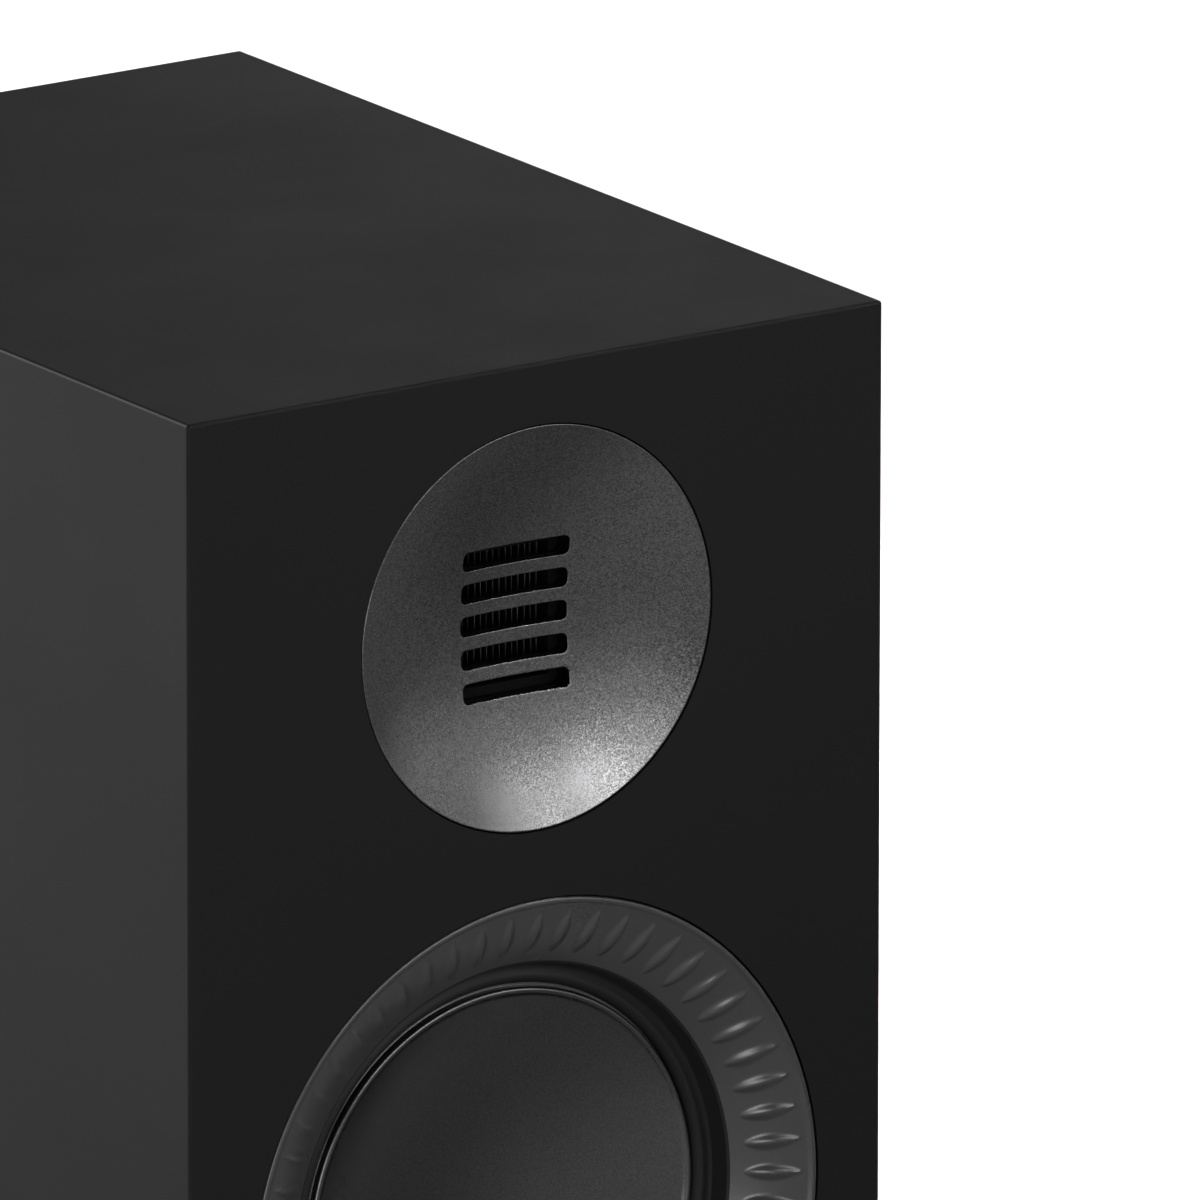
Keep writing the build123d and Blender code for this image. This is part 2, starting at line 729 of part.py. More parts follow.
def post_cap(x):
    """The screw cap: ribbed outside, and bored right through so that a plug reaches the post."""
    cap = rod(CAP_R, CAP_Y, CAP_END, x, CUP_Z)
    ends = cap.faces().sort_by(Axis.Y)[-1].edges() + cap.faces().sort_by(Axis.Y)[0].edges()
    cap = chamfer(ends, 0.8)
    cap -= rod(POST_R + THREAD_CLEARANCE, CAP_Y - 1, CAP_END + 1, x, CUP_Z)
    cap -= rod(POST_R + THREAD_RELIEF, CAP_Y - 1, CAP_Y + THREAD_RELIEF_LONG, x, CUP_Z)
    for n in range(CAP_RIBS):
        turn = math.radians(360.0 * n / CAP_RIBS)
        at_x = x + (CAP_R + 0.25) * math.cos(turn)
        at_z = CUP_Z + (CAP_R + 0.25) * math.sin(turn)
        cap -= rod(0.6, CAP_Y + 1.5, CAP_END - 3.5, at_x, at_z)
    return cap


# ================================================================ crossover
BOARD_Z = FLOOR + WALL + STANDOFF
BOARD_TOP = BOARD_Z + BOARD_THICK
BOARD_CORNERS = [
    (sx * (BOARD_X / 2 - 5), BOARD_CENTRE_Y + sy * (BOARD_Y / 2 - 5)) for sx, sy in CORNERS
]


def upright(radius, z_low, z_high, x, y):
    """A cylinder along Z between two heights."""
    bar = Cylinder(radius, z_high - z_low, align=(Align.CENTER, Align.CENTER, Align.MIN))
    return Pos(x, y, z_low) * bar


def crossover_board():
    """The circuit board, with a hole in each corner."""
    middle = (0, BOARD_CENTRE_Y, BOARD_Z + BOARD_THICK / 2)
    board = block((BOARD_X, BOARD_Y, BOARD_THICK), middle)
    for x, y in BOARD_CORNERS:
        board -= upright(1.7, BOARD_Z - 1, BOARD_TOP + 1, x, y)
    return board


def standoffs():
    """Four spacers under the board."""
    low = FLOOR + WALL
    return [
        upright(3.5, low, BOARD_Z, x, y) - upright(1.7, low - 1, BOARD_Z + 1, x, y)
        for x, y in BOARD_CORNERS
    ]


def board_screws():
    """Four screws through the board and its spacers into the bottom wall's face."""
    return [
        upright(3.0, BOARD_TOP, BOARD_TOP + 1.8, x, y)
        + upright(1.5, FLOOR + WALL, BOARD_TOP, x, y)
        for x, y in BOARD_CORNERS
    ]


def inductor(outer, inner, tall, x, y):
    """A wound coil standing on the board."""
    return upright(outer, BOARD_TOP, BOARD_TOP + tall, x, y) - upright(
        inner, BOARD_TOP - 1, BOARD_TOP + tall + 1, x, y
    )


def capacitors():
    """Two film capacitors and one electrolytic lying along X."""
    made = []
    sizes = ((8.0, 30.0, 26.0, 38.0), (6.5, 26.0, 28.0, 54.0), (5.0, 22.0, 28.0, 67.0))
    for radius, long, x, y in sizes:
        body = Pos(x, y, BOARD_TOP + radius) * Rot(0, 90, 0) * Cylinder(radius, long)
        made.append(fillet(body.edges().filter_by(GeomType.CIRCLE), 0.8))
    return made


def resistors():
    """Two cement resistors."""
    return [block((22, 9, 9), (-6, y, BOARD_TOP + 4.5)) for y in (62.0, 73.0)]


# ================================================================ wires
def both_sides(route):
    """A wire along the route and one along its mirror image across the middle of the cabinet."""
    return [wire([(side * x, y, z) for x, y, z in route], WIRE_R) for side in (-1, 1)]


def input_wires():
    """From the binding posts' back ends down to the crossover's rear edge."""
    x = POST_SPACING / 2
    return both_sides(
        [
            (x, POST_BACK, CUP_Z),
            (x, POST_BACK - 12, CUP_Z),
            (x + 1, POST_BACK - 23, CUP_Z - 11),
            (x + 2, POST_BACK - 25, CUP_Z - 29),
            (x + 1, POST_BACK - 16, BOARD_TOP + 14),
            (x + 1, POST_BACK - 16, BOARD_TOP),
        ]
    )


def woofer_wires():
    """From the crossover's front edge through the brace's lower windows to the woofer."""
    return both_sides(
        [
            (WOOFER_TAB_X, FRONT + WOOFER_TAB_END, WOOFER_Z - WOOFER_TAB_DROP),
            (WOOFER_TAB_X, FRONT + 66, WOOFER_Z - WOOFER_TAB_DROP),
            (16, FRONT + 86, 44),
            (21, FRONT + 108, 42),
            (24, FRONT + 130, 43),
            (25, FRONT + 147, 40),
            (24.5, FRONT + 155, BOARD_TOP + 10),
            (24.5, FRONT + 155, BOARD_TOP),
        ]
    )


def tweeter_wires():
    """From the crossover's front edge up behind the brace and through its upper windows."""
    return both_sides(
        [
            (TWEETER_TAB_X, FRONT + TWEETER_TAB_END, TWEETER_Z),
            (TWEETER_TAB_X, FRONT + 66, TWEETER_Z),
            (16, FRONT + 86, 226),
            (22, FRONT + 110, 214),
            (25, FRONT + 128, 198),
            (26, FRONT + 135, 176),
            (28, FRONT + 136, 140),
            (31, FRONT + 136, 102),
            (34, FRONT + 140, 68),
            (35, FRONT + 149, 46),
            (34.5, FRONT + 155, BOARD_TOP + 12),
            (34.5, FRONT + 155, BOARD_TOP),
        ]
    )


def write(parts):
    """Writes one STEP file for each node; a list becomes one node of separate solids."""
    os.makedirs("parts", exist_ok=True)
    for name, shape in parts.items():
        if isinstance(shape, list):
            shape = Compound(children=[solid for item in shape for solid in item.solids()])
        export_step(shape, f"parts/{name}.step")


def main():
    """Builds every node."""
    walls = wrap()
    motor = TOP_PLATE_DEPTH + TOP_PLATE_THICK
    rear_pole = GAP_DEPTH + GAP_LONG
    parts = {
        "bottom_panel": walls & mitre_wedge(CORNERS[0], CORNERS[1]),
        "right_panel": walls & mitre_wedge(CORNERS[1], CORNERS[2]),
        "top_panel": walls & mitre_wedge(CORNERS[2], CORNERS[3]),
        "left_panel": walls & mitre_wedge(CORNERS[3], CORNERS[0]),
        "front_baffle": front_baffle(),
        "back_panel": back_panel(),
        "window_brace": window_brace(),
        "left_damping_foam": damping_foam(-1),
        "right_damping_foam": damping_foam(1),
        "rubber_feet": rubber_feet(),
        "tweeter_faceplate": tweeter_faceplate(),
        "tweeter_chassis": tweeter_chassis(),
        "tweeter_gasket": tweeter_gasket(),
        "tweeter_screws": screws(TWEETER_SCREWS, FRONT + 5.0, 1.5, 11.0),
        "tweeter_front_pole": pole_plate(POLE_DEPTH),
        "tweeter_rear_pole": pole_plate(rear_pole),
        "tweeter_film_frame": film_frame(),
        "tweeter_folded_film": folded_film(),
        "tweeter_magnets": tweeter_magnets(),
        "tweeter_rear_chamber": tweeter_rear_chamber(),
        "tweeter_solder_tabs": solder_tabs(
            TWEETER_TAB_X, TWEETER_Z, CHAMBER_END, TWEETER_TAB_END
        ),
        "woofer_surround": surround(),
        "woofer_dish": woofer_dish(),
        "woofer_basket": woofer_basket(),
        "woofer_gasket": woofer_gasket(),
        "woofer_screws": screws(WOOFER_SCREWS, FRONT + FLANGE_DEPTH, 1.5, 10.0),
        "woofer_spider": spider(),
        "woofer_terminal_board": woofer_terminal_board(),
        "woofer_solder_tabs": solder_tabs(
            WOOFER_TAB_X, WOOFER_Z - WOOFER_TAB_DROP, LEDGE_DEPTH + 2, WOOFER_TAB_END
        ),
        "woofer_tinsel_leads": tinsel_leads(),
        "voice_coil_former": voice_coil_former(),
        "voice_coil": voice_coil(),
        "woofer_top_plate": ring(
            42.0, COIL_R + 0.9, TOP_PLATE_DEPTH, motor, WOOFER_Z
        ),
        "woofer_magnet": ring(45.0, 22.0, motor, motor + MAGNET_THICK, WOOFER_Z),
        "woofer_yoke": woofer_yoke(),
        "port_tube": port_tube(),
        "terminal_cup": terminal_cup(),
        "terminal_cup_screws": cup_screws(),
        "post_nuts": post_nuts(),
        "crossover_board": crossover_board(),
        "crossover_standoffs": standoffs(),
        "crossover_screws": board_screws(),
        "woofer_inductor": inductor(15.0, 6.0, 16.0, -28.0, 44.0),
        "tweeter_inductor": inductor(11.0, 4.0, 12.0, -34.0, 70.0),
        "crossover_capacitors": capacitors(),
        "crossover_resistors": resistors(),
        "input_wires": input_wires(),
        "woofer_wires": woofer_wires(),
        "tweeter_wires": tweeter_wires(),
    }
    for name, x in zip(("black", "red"), post_places()):
        parts[f"{name}_post"] = binding_post(x)
        parts[f"{name}_post_base"] = post_base(x)
        parts[f"{name}_clamp_washer"] = clamp_washer(x)
        parts[f"{name}_post_cap"] = post_cap(x)
    write(parts)


main()
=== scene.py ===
# %% [markdown]
# # A bookshelf speaker, finished in Blender
#
# The speaker was designed as solid parts first, and those parts are the fixed frame of this scene.
# Here the parts that a viewer looks at closely are made again as smooth, finely divided surfaces, and
# every part gets a finish. A finish is a set of shader nodes, so it keeps its grain and gloss at any
# distance without any picture file.
#
# All lengths are in metres, +Z is up and the front of the speaker faces -Y.

# %% Load the frame
import math

import bmesh
import bpy
import numpy as np
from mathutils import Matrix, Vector


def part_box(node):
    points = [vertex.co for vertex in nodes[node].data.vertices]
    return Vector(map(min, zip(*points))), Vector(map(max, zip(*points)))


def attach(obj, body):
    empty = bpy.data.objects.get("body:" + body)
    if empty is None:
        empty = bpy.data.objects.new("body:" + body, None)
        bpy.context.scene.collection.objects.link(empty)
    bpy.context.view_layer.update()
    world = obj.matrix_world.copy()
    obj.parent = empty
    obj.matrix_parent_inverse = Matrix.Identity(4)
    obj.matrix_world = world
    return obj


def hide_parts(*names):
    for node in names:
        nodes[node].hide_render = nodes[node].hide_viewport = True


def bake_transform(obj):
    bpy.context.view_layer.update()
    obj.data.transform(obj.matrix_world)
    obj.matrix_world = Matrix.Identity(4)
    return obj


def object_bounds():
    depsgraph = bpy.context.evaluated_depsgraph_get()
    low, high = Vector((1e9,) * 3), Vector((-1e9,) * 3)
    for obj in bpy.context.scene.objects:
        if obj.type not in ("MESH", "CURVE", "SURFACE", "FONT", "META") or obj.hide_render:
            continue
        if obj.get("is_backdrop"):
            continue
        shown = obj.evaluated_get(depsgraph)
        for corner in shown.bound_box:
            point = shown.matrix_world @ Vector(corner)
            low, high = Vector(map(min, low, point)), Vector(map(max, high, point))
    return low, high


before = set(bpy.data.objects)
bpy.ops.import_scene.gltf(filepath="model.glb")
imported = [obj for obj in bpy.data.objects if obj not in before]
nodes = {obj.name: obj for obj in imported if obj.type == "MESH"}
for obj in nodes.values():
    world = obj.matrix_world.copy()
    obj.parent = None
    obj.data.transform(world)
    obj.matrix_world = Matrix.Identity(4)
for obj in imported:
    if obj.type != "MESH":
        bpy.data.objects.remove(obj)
cad_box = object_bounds()
scene = bpy.context.scene
print("parts in the frame:", len(nodes))

# %% [markdown]
# ## Where things are
#
# Every later step measures from a few places on the designed parts: the front face, the middle of
# each driver and of each fitting on the back. They are read from the boxes round the parts, so that
# nothing is typed in twice.

# %% Places on the speaker
MM = 0.001


def middle(node):
    """The middle of the box round a designed part."""
    low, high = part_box(node)
    return (low + high) / 2


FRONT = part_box("front_baffle")[0].y
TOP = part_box("top_panel")[1].z
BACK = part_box("left_panel")[1].y
TWEETER_Z = middle("tweeter_faceplate").z
WOOFER_Z = middle("woofer_surround").z
PORT_Z = middle("port_tube").z
print("front", round(FRONT, 4), "back", round(BACK, 4), "top", round(TOP, 4))

# %% [markdown]
# ## The camera
#
# A long lens from well back keeps the box's edges almost parallel. The camera looks at a point on
# the front face, a little right of the middle and below the top edge, from the front left and
# slightly above. Its place is worked out from those two angles and the distance, and no lens shift
# is needed.

# %% Camera
LOOK_AT = Vector((16.18 * MM, FRONT, TOP - 55.64 * MM))
AZIMUTH = math.radians(-34.07)
ELEVATION = math.radians(16.02)
DISTANCE = 6.468
LENS = 900.0
SENSOR = 36.0
ROLL = math.radians(0.07)
FAR_CLIP = 100.0


def direction(azimuth, elevation):
    """The unit vector that points from the speaker to a place seen at two angles from its front."""
    level = math.cos(elevation)
    return Vector((math.sin(azimuth) * level, -math.cos(azimuth) * level, math.sin(elevation)))


towards_camera = direction(AZIMUTH, ELEVATION)
camera_data = bpy.data.cameras.new("long_lens")
camera_data.lens = LENS
camera_data.sensor_width = SENSOR
camera_data.clip_end = FAR_CLIP
camera = bpy.data.objects.new("camera", camera_data)
camera.location = LOOK_AT + DISTANCE * towards_camera
camera.rotation_euler = towards_camera.to_track_quat("Z", "Y").to_euler()
camera.rotation_euler.rotate_axis("Z", ROLL)
scene.collection.objects.link(camera)
scene.camera = camera
print("camera at", [round(c, 3) for c in camera.location])

# %% [markdown]
# ## Studio
#
# The speaker stands on a pale floor that runs on behind it as the background. Black paint and dark
# metal show almost only what they mirror, so the lights are large soft panels. A low row in front
# gives the hollow plate and dish their slow gradient, and a higher row with a narrow beam is gathered
# at their lower right. One low at the left front lights the ribs, and one behind on each side lights
# the side panel and the top. A small one high at the right draws the line along the front top edge.
# Two lamps over the floor whiten the background. They point straight down, clear of the speaker.

# %% Floor, lights and world
CENTRE = Vector((0, 0, (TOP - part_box("bottom_panel")[0].z) / 2))
FLOOR_HALF = 12.0
STAND_OFF = 1.8
FRONT_SIZE, HIGH_SIZE, REAR_SIZE, EDGE_SIZE, FLOOR_LAMP_SIZE = 0.6, 0.5, 0.9, 0.3, 0.4
LOW_ELEVATION, HIGH_ELEVATION = 8, 21
AMBIENT, AMBIENT_COLOUR = 0.02, (0.92, 0.95, 1.0, 1)


def panel(name, size, power, beam):
    """A square light that shines down, with its beam in degrees."""
    data = bpy.data.lights.new(name, "AREA")
    data.shape = "SQUARE"
    data.size = size
    data.energy = power
    data.spread = math.radians(beam)
    lamp = bpy.data.objects.new(name, data)
    scene.collection.objects.link(lamp)
    return lamp


def softbox(name, azimuth, elevation, size, power, beam=180, raised=0.0):
    """A panel that looks at the speaker, placed by two angles in degrees."""
    away = direction(math.radians(azimuth), math.radians(elevation))
    lamp = panel(name, size, power, beam)
    lamp.location = CENTRE + STAND_OFF * away
    lamp.location.z += raised
    lamp.rotation_euler = away.to_track_quat("Z", "Y").to_euler()


for azimuth, power in ((0, 0.9), (20, 0.8), (40, 0.8), (60, 0.9)):
    softbox(f"front_low_{azimuth}", azimuth, LOW_ELEVATION, FRONT_SIZE, power)
for azimuth, power in ((-5, 0.12), (15, 0.17), (35, 0.12)):
    softbox(f"front_high_{azimuth}", azimuth, HIGH_ELEVATION, HIGH_SIZE, power, beam=32, raised=0.09)
softbox("left_low_softbox", -38, 3, FRONT_SIZE, 6.0)
softbox("left_rear_softbox", -135, 25, REAR_SIZE, 29)
softbox("right_rear_softbox", 135, 30, REAR_SIZE, 1.6)
softbox("edge_softbox", 64, 54, EDGE_SIZE, 0.1, beam=16, raised=0.14)
for place, power, beam in (((0.42, 0.36, 0.7), 2.4, 72), ((0.75, 1.05, 0.95), 3, 95)):
    panel("background_light", FLOOR_LAMP_SIZE, power, beam).location = place

world = bpy.data.worlds.new("studio")
scene.world = world
world.use_nodes = True
backdrop = world.node_tree.nodes["Background"]
backdrop.inputs["Color"].default_value = AMBIENT_COLOUR
backdrop.inputs["Strength"].default_value = AMBIENT
scene.view_settings.view_transform = "Standard"

# %% [markdown]
# ## Surfaces from arrays
#
# A turned part, such as a dish or a ring, is an outline carried round an axis. Working its points out
# as whole numpy arrays is quick and gives clean rows of four-sided faces that shade smoothly. `skin`
# joins such grids of points into one mesh: points that meet are merged, so a seam closes, and a row
# drawn together into one point becomes a fan of triangles. `rounded` turns a list of corners into an
# outline in which each corner is the arc that touches both of its sides.

# %% Mesh helpers
MERGE = 1e-6
CREASE = math.radians(38)


def skin(name, *patches):
    """One mesh from grids of points[row, column, xyz], with its faces turned outwards."""
    corners, faces, offset = [], [], 0
    for patch in patches:
        rows, columns = patch.shape[:2]
        index = offset + np.arange(rows * columns).reshape(rows, columns)
        quads = [index[:-1, :-1], index[1:, :-1], index[1:, 1:], index[:-1, 1:]]
        faces.append(np.stack(quads, axis=-1).reshape(-1, 4))
        corners.append(patch.reshape(-1, 3))
        offset += rows * columns
    mesh = bpy.data.meshes.new(name)
    mesh.from_pydata(np.concatenate(corners), [], np.concatenate(faces).tolist())
    form = bmesh.new()
    form.from_mesh(mesh)
    bmesh.ops.remove_doubles(form, verts=form.verts[:], dist=MERGE)
    bmesh.ops.recalc_face_normals(form, faces=form.faces[:])
    if form.calc_volume(signed=True) < 0:
        bmesh.ops.reverse_faces(form, faces=form.faces[:])
    form.to_mesh(mesh)
    form.free()
    mesh.shade_smooth()
    mesh.set_sharp_from_angle(angle=CREASE)
    piece = bpy.data.objects.new(name, mesh)
    scene.collection.objects.link(piece)
    return piece


def rounded(corners, steps=6):
    """An outline through corners (radius, depth, rounding), with an arc at each rounded corner."""
    corners = [tuple(c) + (0.0,) * (3 - len(c)) for c in corners]
    line = [np.array(corners[0][:2])]
    for before, here, after in zip(corners, corners[1:], corners[2:]):
        point, radius = np.array(here[:2]), here[2]
        back, ahead = np.array(before[:2]) - point, np.array(after[:2]) - point
        back, ahead = back / np.linalg.norm(back), ahead / np.linalg.norm(ahead)
        half = math.acos(float(np.clip(back @ ahead, -1, 1))) / 2
        if radius == 0:
            line.append(point)
            continue
        halfway = (back + ahead) / np.linalg.norm(back + ahead)
        centre = point + halfway * radius / math.sin(half)
        first = point + back * radius / math.tan(half) - centre
        last = point + ahead * radius / math.tan(half) - centre
        sweep = math.pi - 2 * half
        share = np.linspace(0, 1, steps + 1)[:, None]
        arc = np.sin((1 - share) * sweep) * first + np.sin(share * sweep) * last
        line.extend(centre + arc / math.sin(sweep))
    line.append(np.array(corners[-1][:2]))
    return np.array(line)


def carried(outline, height, turns, across=0.0, start=FRONT):
    """Points[angle, step] of an outline of (radius, depth) in mm carried round an axis along Y."""
    angle = np.linspace(0, 2 * math.pi, turns + 1)[:, None]
    radius, depth = outline[:, 0] * MM, outline[:, 1] * MM
    x = across + radius * np.cos(angle)
    z = height + radius * np.sin(angle)
    return np.stack([x, start + depth + 0 * angle, z], axis=-1)


def count_triangles(piece):
    """The number of triangles that a piece's faces make."""
    return sum(len(face.vertices) - 2 for face in piece.data.polygons)


floor_line = np.linspace(-FLOOR_HALF, FLOOR_HALF, 2)
floor = skin("floor", np.array([[(x, y, 0.0) for y in floor_line] for x in floor_line]))
floor.data.flip_normals()
floor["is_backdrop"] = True
print("floor normal up:", floor.data.polygons[0].normal.z > 0)

# %% [markdown]
# ## Effects that several finishes share
#
# Fine grain, broad mottling, metal sparkle, weave and winding lines come back in many finishes. Each
# is a shader node group, built once, with named inputs for its size and strength. A group puts out
# only numbers and normals that vary over the surface, and the finish decides what to do with them.

# %% Shader node helpers
def add(tree, kind, values=None, **properties):
    """Adds a shader node, sets its properties and then the plain values of its inputs."""
    made = tree.nodes.new(kind)
    for key, value in properties.items():
        setattr(made, key, value)
    for key, value in (values or {}).items():
        made.inputs[key].default_value = value
    return made


def effect(name, inputs, outputs):
    """An empty node group with number inputs, and number or vector outputs."""
    tree = bpy.data.node_groups.new(name, "ShaderNodeTree")
    for label, value in inputs.items():
        socket = tree.interface.new_socket(label, in_out="INPUT", socket_type="NodeSocketFloat")
        socket.default_value = value
    for label, kind in outputs.items():
        tree.interface.new_socket(label, in_out="OUTPUT", socket_type="NodeSocket" + kind)
    return tree, tree.nodes.new("NodeGroupInput"), tree.nodes.new("NodeGroupOutput")


def object_place(tree):
    """The object-coordinate output, which stays with the surface when the part moves."""
    return add(tree, "ShaderNodeTexCoord").outputs["Object"]


# %% [markdown]
# ** Grain** is the tiny even roughness of sprayed paint or moulded plastic. One noise drives a bump
# and a small spread of shade, so the two always agree.

# %% Grain and mottle groups
grain, start, end = effect(
    "fine_grain", {"Scale": 3000.0, "Depth": 0.2, "Spread": 0.1}, {"Normal": "Vector", "Shade": "Float"}
)
noise = add(grain, "ShaderNodeTexNoise", {"Detail": 2.0})
bump = add(grain, "ShaderNodeBump", {"Distance": 0.05 * MM})
shade = add(grain, "ShaderNodeMapRange", {"From Min": 0.2, "From Max": 0.8})
low = add(grain, "ShaderNodeMath", {0: 1.0}, operation="SUBTRACT")
high = add(grain, "ShaderNodeMath", {0: 1.0}, operation="ADD")
grain.links.new(object_place(grain), noise.inputs["Vector"])
grain.links.new(start.outputs["Scale"], noise.inputs["Scale"])
grain.links.new(noise.outputs["Fac"], bump.inputs["Height"])
grain.links.new(start.outputs["Depth"], bump.inputs["Strength"])
grain.links.new(start.outputs["Spread"], low.inputs[1])
grain.links.new(start.outputs["Spread"], high.inputs[1])
grain.links.new(low.outputs[0], shade.inputs["To Min"])
grain.links.new(high.outputs[0], shade.inputs["To Max"])
grain.links.new(noise.outputs["Fac"], shade.inputs["Value"])
grain.links.new(bump.outputs["Normal"], end.inputs["Normal"])
grain.links.new(shade.outputs["Result"], end.inputs["Shade"])

mottle, start, end = effect("broad_mottle", {"Scale": 25.0}, {"Value": "Float"})
cloud = add(mottle, "ShaderNodeTexNoise", {"Detail": 3.0, "Roughness": 0.6})
mottle.links.new(object_place(mottle), cloud.inputs["Vector"])
mottle.links.new(start.outputs["Scale"], cloud.inputs["Scale"])
mottle.links.new(cloud.outputs["Fac"], end.inputs["Value"])
print("groups:", grain.name, mottle.name)

# %% [markdown]
# **Sparkle** is the look of blasted and anodised aluminium: every tiny facet has its own tilt and its
# own brightness. Voronoi cells give each facet one random colour, and its three channels are used as
# a brightness and as a tilt of the normal.

# %% Sparkle group
sparkle, start, end = effect(
    "metal_sparkle", {"Scale": 4500.0, "Tilt": 0.1}, {"Normal": "Vector", "Flake": "Float"}
)
facets = add(sparkle, "ShaderNodeTexVoronoi")
channels = add(sparkle, "ShaderNodeSeparateColor")
tilt = add(sparkle, "ShaderNodeVectorMath", {1: (0.5, 0.5, 0.5)}, operation="SUBTRACT")
scaled = add(sparkle, "ShaderNodeVectorMath", operation="SCALE")
facing = add(sparkle, "ShaderNodeNewGeometry")
sum_up = add(sparkle, "ShaderNodeVectorMath", operation="ADD")
unit = add(sparkle, "ShaderNodeVectorMath", operation="NORMALIZE")
sparkle.links.new(object_place(sparkle), facets.inputs["Vector"])
sparkle.links.new(start.outputs["Scale"], facets.inputs["Scale"])
sparkle.links.new(facets.outputs["Color"], channels.inputs["Color"])
sparkle.links.new(facets.outputs["Color"], tilt.inputs[0])
sparkle.links.new(tilt.outputs[0], scaled.inputs[0])
sparkle.links.new(start.outputs["Tilt"], scaled.inputs["Scale"])
sparkle.links.new(facing.outputs["Normal"], sum_up.inputs[0])
sparkle.links.new(scaled.outputs[0], sum_up.inputs[1])
sparkle.links.new(sum_up.outputs[0], unit.inputs[0])
sparkle.links.new(unit.outputs[0], end.inputs["Normal"])
sparkle.links.new(channels.outputs["Red"], end.inputs["Flake"])
print("group:", sparkle.name)

# %% [markdown]
# **Threads** serve both for woven cloth and for windings: sine ridges along one or two directions.
# With a low second strength they are the parallel turns of a coil, and with both equal they cross
# over like warp and weft.

# %% Threads group
threads, start, end = effect(
    "threads", {"Scale": 1500.0, "Along X": 1.0, "Along Z": 1.0}, {"Height": "Float"}
)
split = add(threads, "ShaderNodeSeparateXYZ")
threads.links.new(object_place(threads), split.inputs["Vector"])
ridges = []
for axis in ("X", "Z"):
    grown = add(threads, "ShaderNodeMath", operation="MULTIPLY")
    wave = add(threads, "ShaderNodeMath", operation="SINE")
    strength = add(threads, "ShaderNodeMath", operation="MULTIPLY")
    threads.links.new(split.outputs[axis], grown.inputs[0])
    threads.links.new(start.outputs["Scale"], grown.inputs[1])
    threads.links.new(grown.outputs[0], wave.inputs[0])
    threads.links.new(wave.outputs[0], strength.inputs[0])
    threads.links.new(start.outputs["Along " + axis], strength.inputs[1])
    ridges.append(strength)
both = add(threads, "ShaderNodeMath", operation="ADD")
threads.links.new(ridges[0].outputs[0], both.inputs[0])
threads.links.new(ridges[1].outputs[0], both.inputs[1])
threads.links.new(both.outputs[0], end.inputs["Height"])
print("group:", threads.name)

# %% [markdown]
# ## Finishes
#
# Each finish is one Principled shader. The grain multiplies the colour and tilts the normal, and the
# mottle moves the roughness a little, as a real surface never has one gloss all over.

# %% Finish maker
def finish(name, colour, rough, metal=0.0, grain_scale=3000.0, depth=0.2, spread=0.12, rough_spread=0.08,
           mottle_scale=25.0, **extra):
    """A material of one colour whose shade, normal and gloss vary over the surface."""
    material = bpy.data.materials.new(name)
    material.use_nodes = True
    tree = material.node_tree
    shader = tree.nodes["Principled BSDF"]
    shader.inputs["Metallic"].default_value = metal
    for label, value in extra.items():
        shader.inputs[label.replace("_", " ")].default_value = value
    fine = add(tree, "ShaderNodeGroup", node_tree=grain)
    fine.inputs["Scale"].default_value = grain_scale
    fine.inputs["Depth"].default_value = depth
    fine.inputs["Spread"].default_value = spread
    broad = add(tree, "ShaderNodeGroup", node_tree=mottle)
    broad.inputs["Scale"].default_value = mottle_scale
    tint = add(tree, "ShaderNodeVectorMath", {0: colour}, operation="SCALE")
    gloss = add(tree, "ShaderNodeMapRange", {"From Min": 0.25, "From Max": 0.75})
    gloss.inputs["To Min"].default_value = rough - rough_spread
    gloss.inputs["To Max"].default_value = rough + rough_spread
    tree.links.new(fine.outputs["Shade"], tint.inputs["Scale"])
    tree.links.new(tint.outputs[0], shader.inputs["Base Color"])
    tree.links.new(fine.outputs["Normal"], shader.inputs["Normal"])
    tree.links.new(broad.outputs["Value"], gloss.inputs["Value"])
    tree.links.new(gloss.outputs["Result"], shader.inputs["Roughness"])
    return material


def dress(material, *names):
    """Gives designed parts a finish."""
    for name in names:
        nodes[name].data.materials.clear()
        nodes[name].data.materials.append(material)


pale_floor = finish("pale_floor", (0.9, 0.9, 0.9), 0.85, grain_scale=30.0, depth=0.0, spread=0.01)
floor.data.materials.append(pale_floor)
print("first finish:", pale_floor.name)

# %% [markdown]
# ## The cabinet
#
# The panels are fibreboard, filled, sanded and sprayed together, so the paint runs over the joints
# without a seam. The finish reads object coordinates, and every panel keeps its place in its mesh, so
# the grain also runs on from one panel to the next.

# %% Cabinet paint
PAINT = (0.0070, 0.0070, 0.0071)
black_paint = finish("matt_black_paint", PAINT, 0.52, grain_scale=2600.0, depth=0.10, spread=0.10,
                     rough_spread=0.03, Specular_IOR_Level=0.22)
dress(black_paint, "front_baffle", "top_panel", "left_panel", "right_panel", "bottom_panel", "back_panel")
print("cabinet painted")

# %% [markdown]
# ## The tweeter's plate
#
# The plate is a shallow bowl pressed from aluminium, with five slots. Cutting the slots with a
# boolean would leave long thin faces that spoil a mirror-like surface. Instead the grid fits the
# slots: each slot sits in a rectangular cell, rows of faces run from the slot's edge to the cell's
# edge, and more rows run from the block of five cells to the round rim. Every loop of points has the
# same count in the same order, so that neighbours share their points.

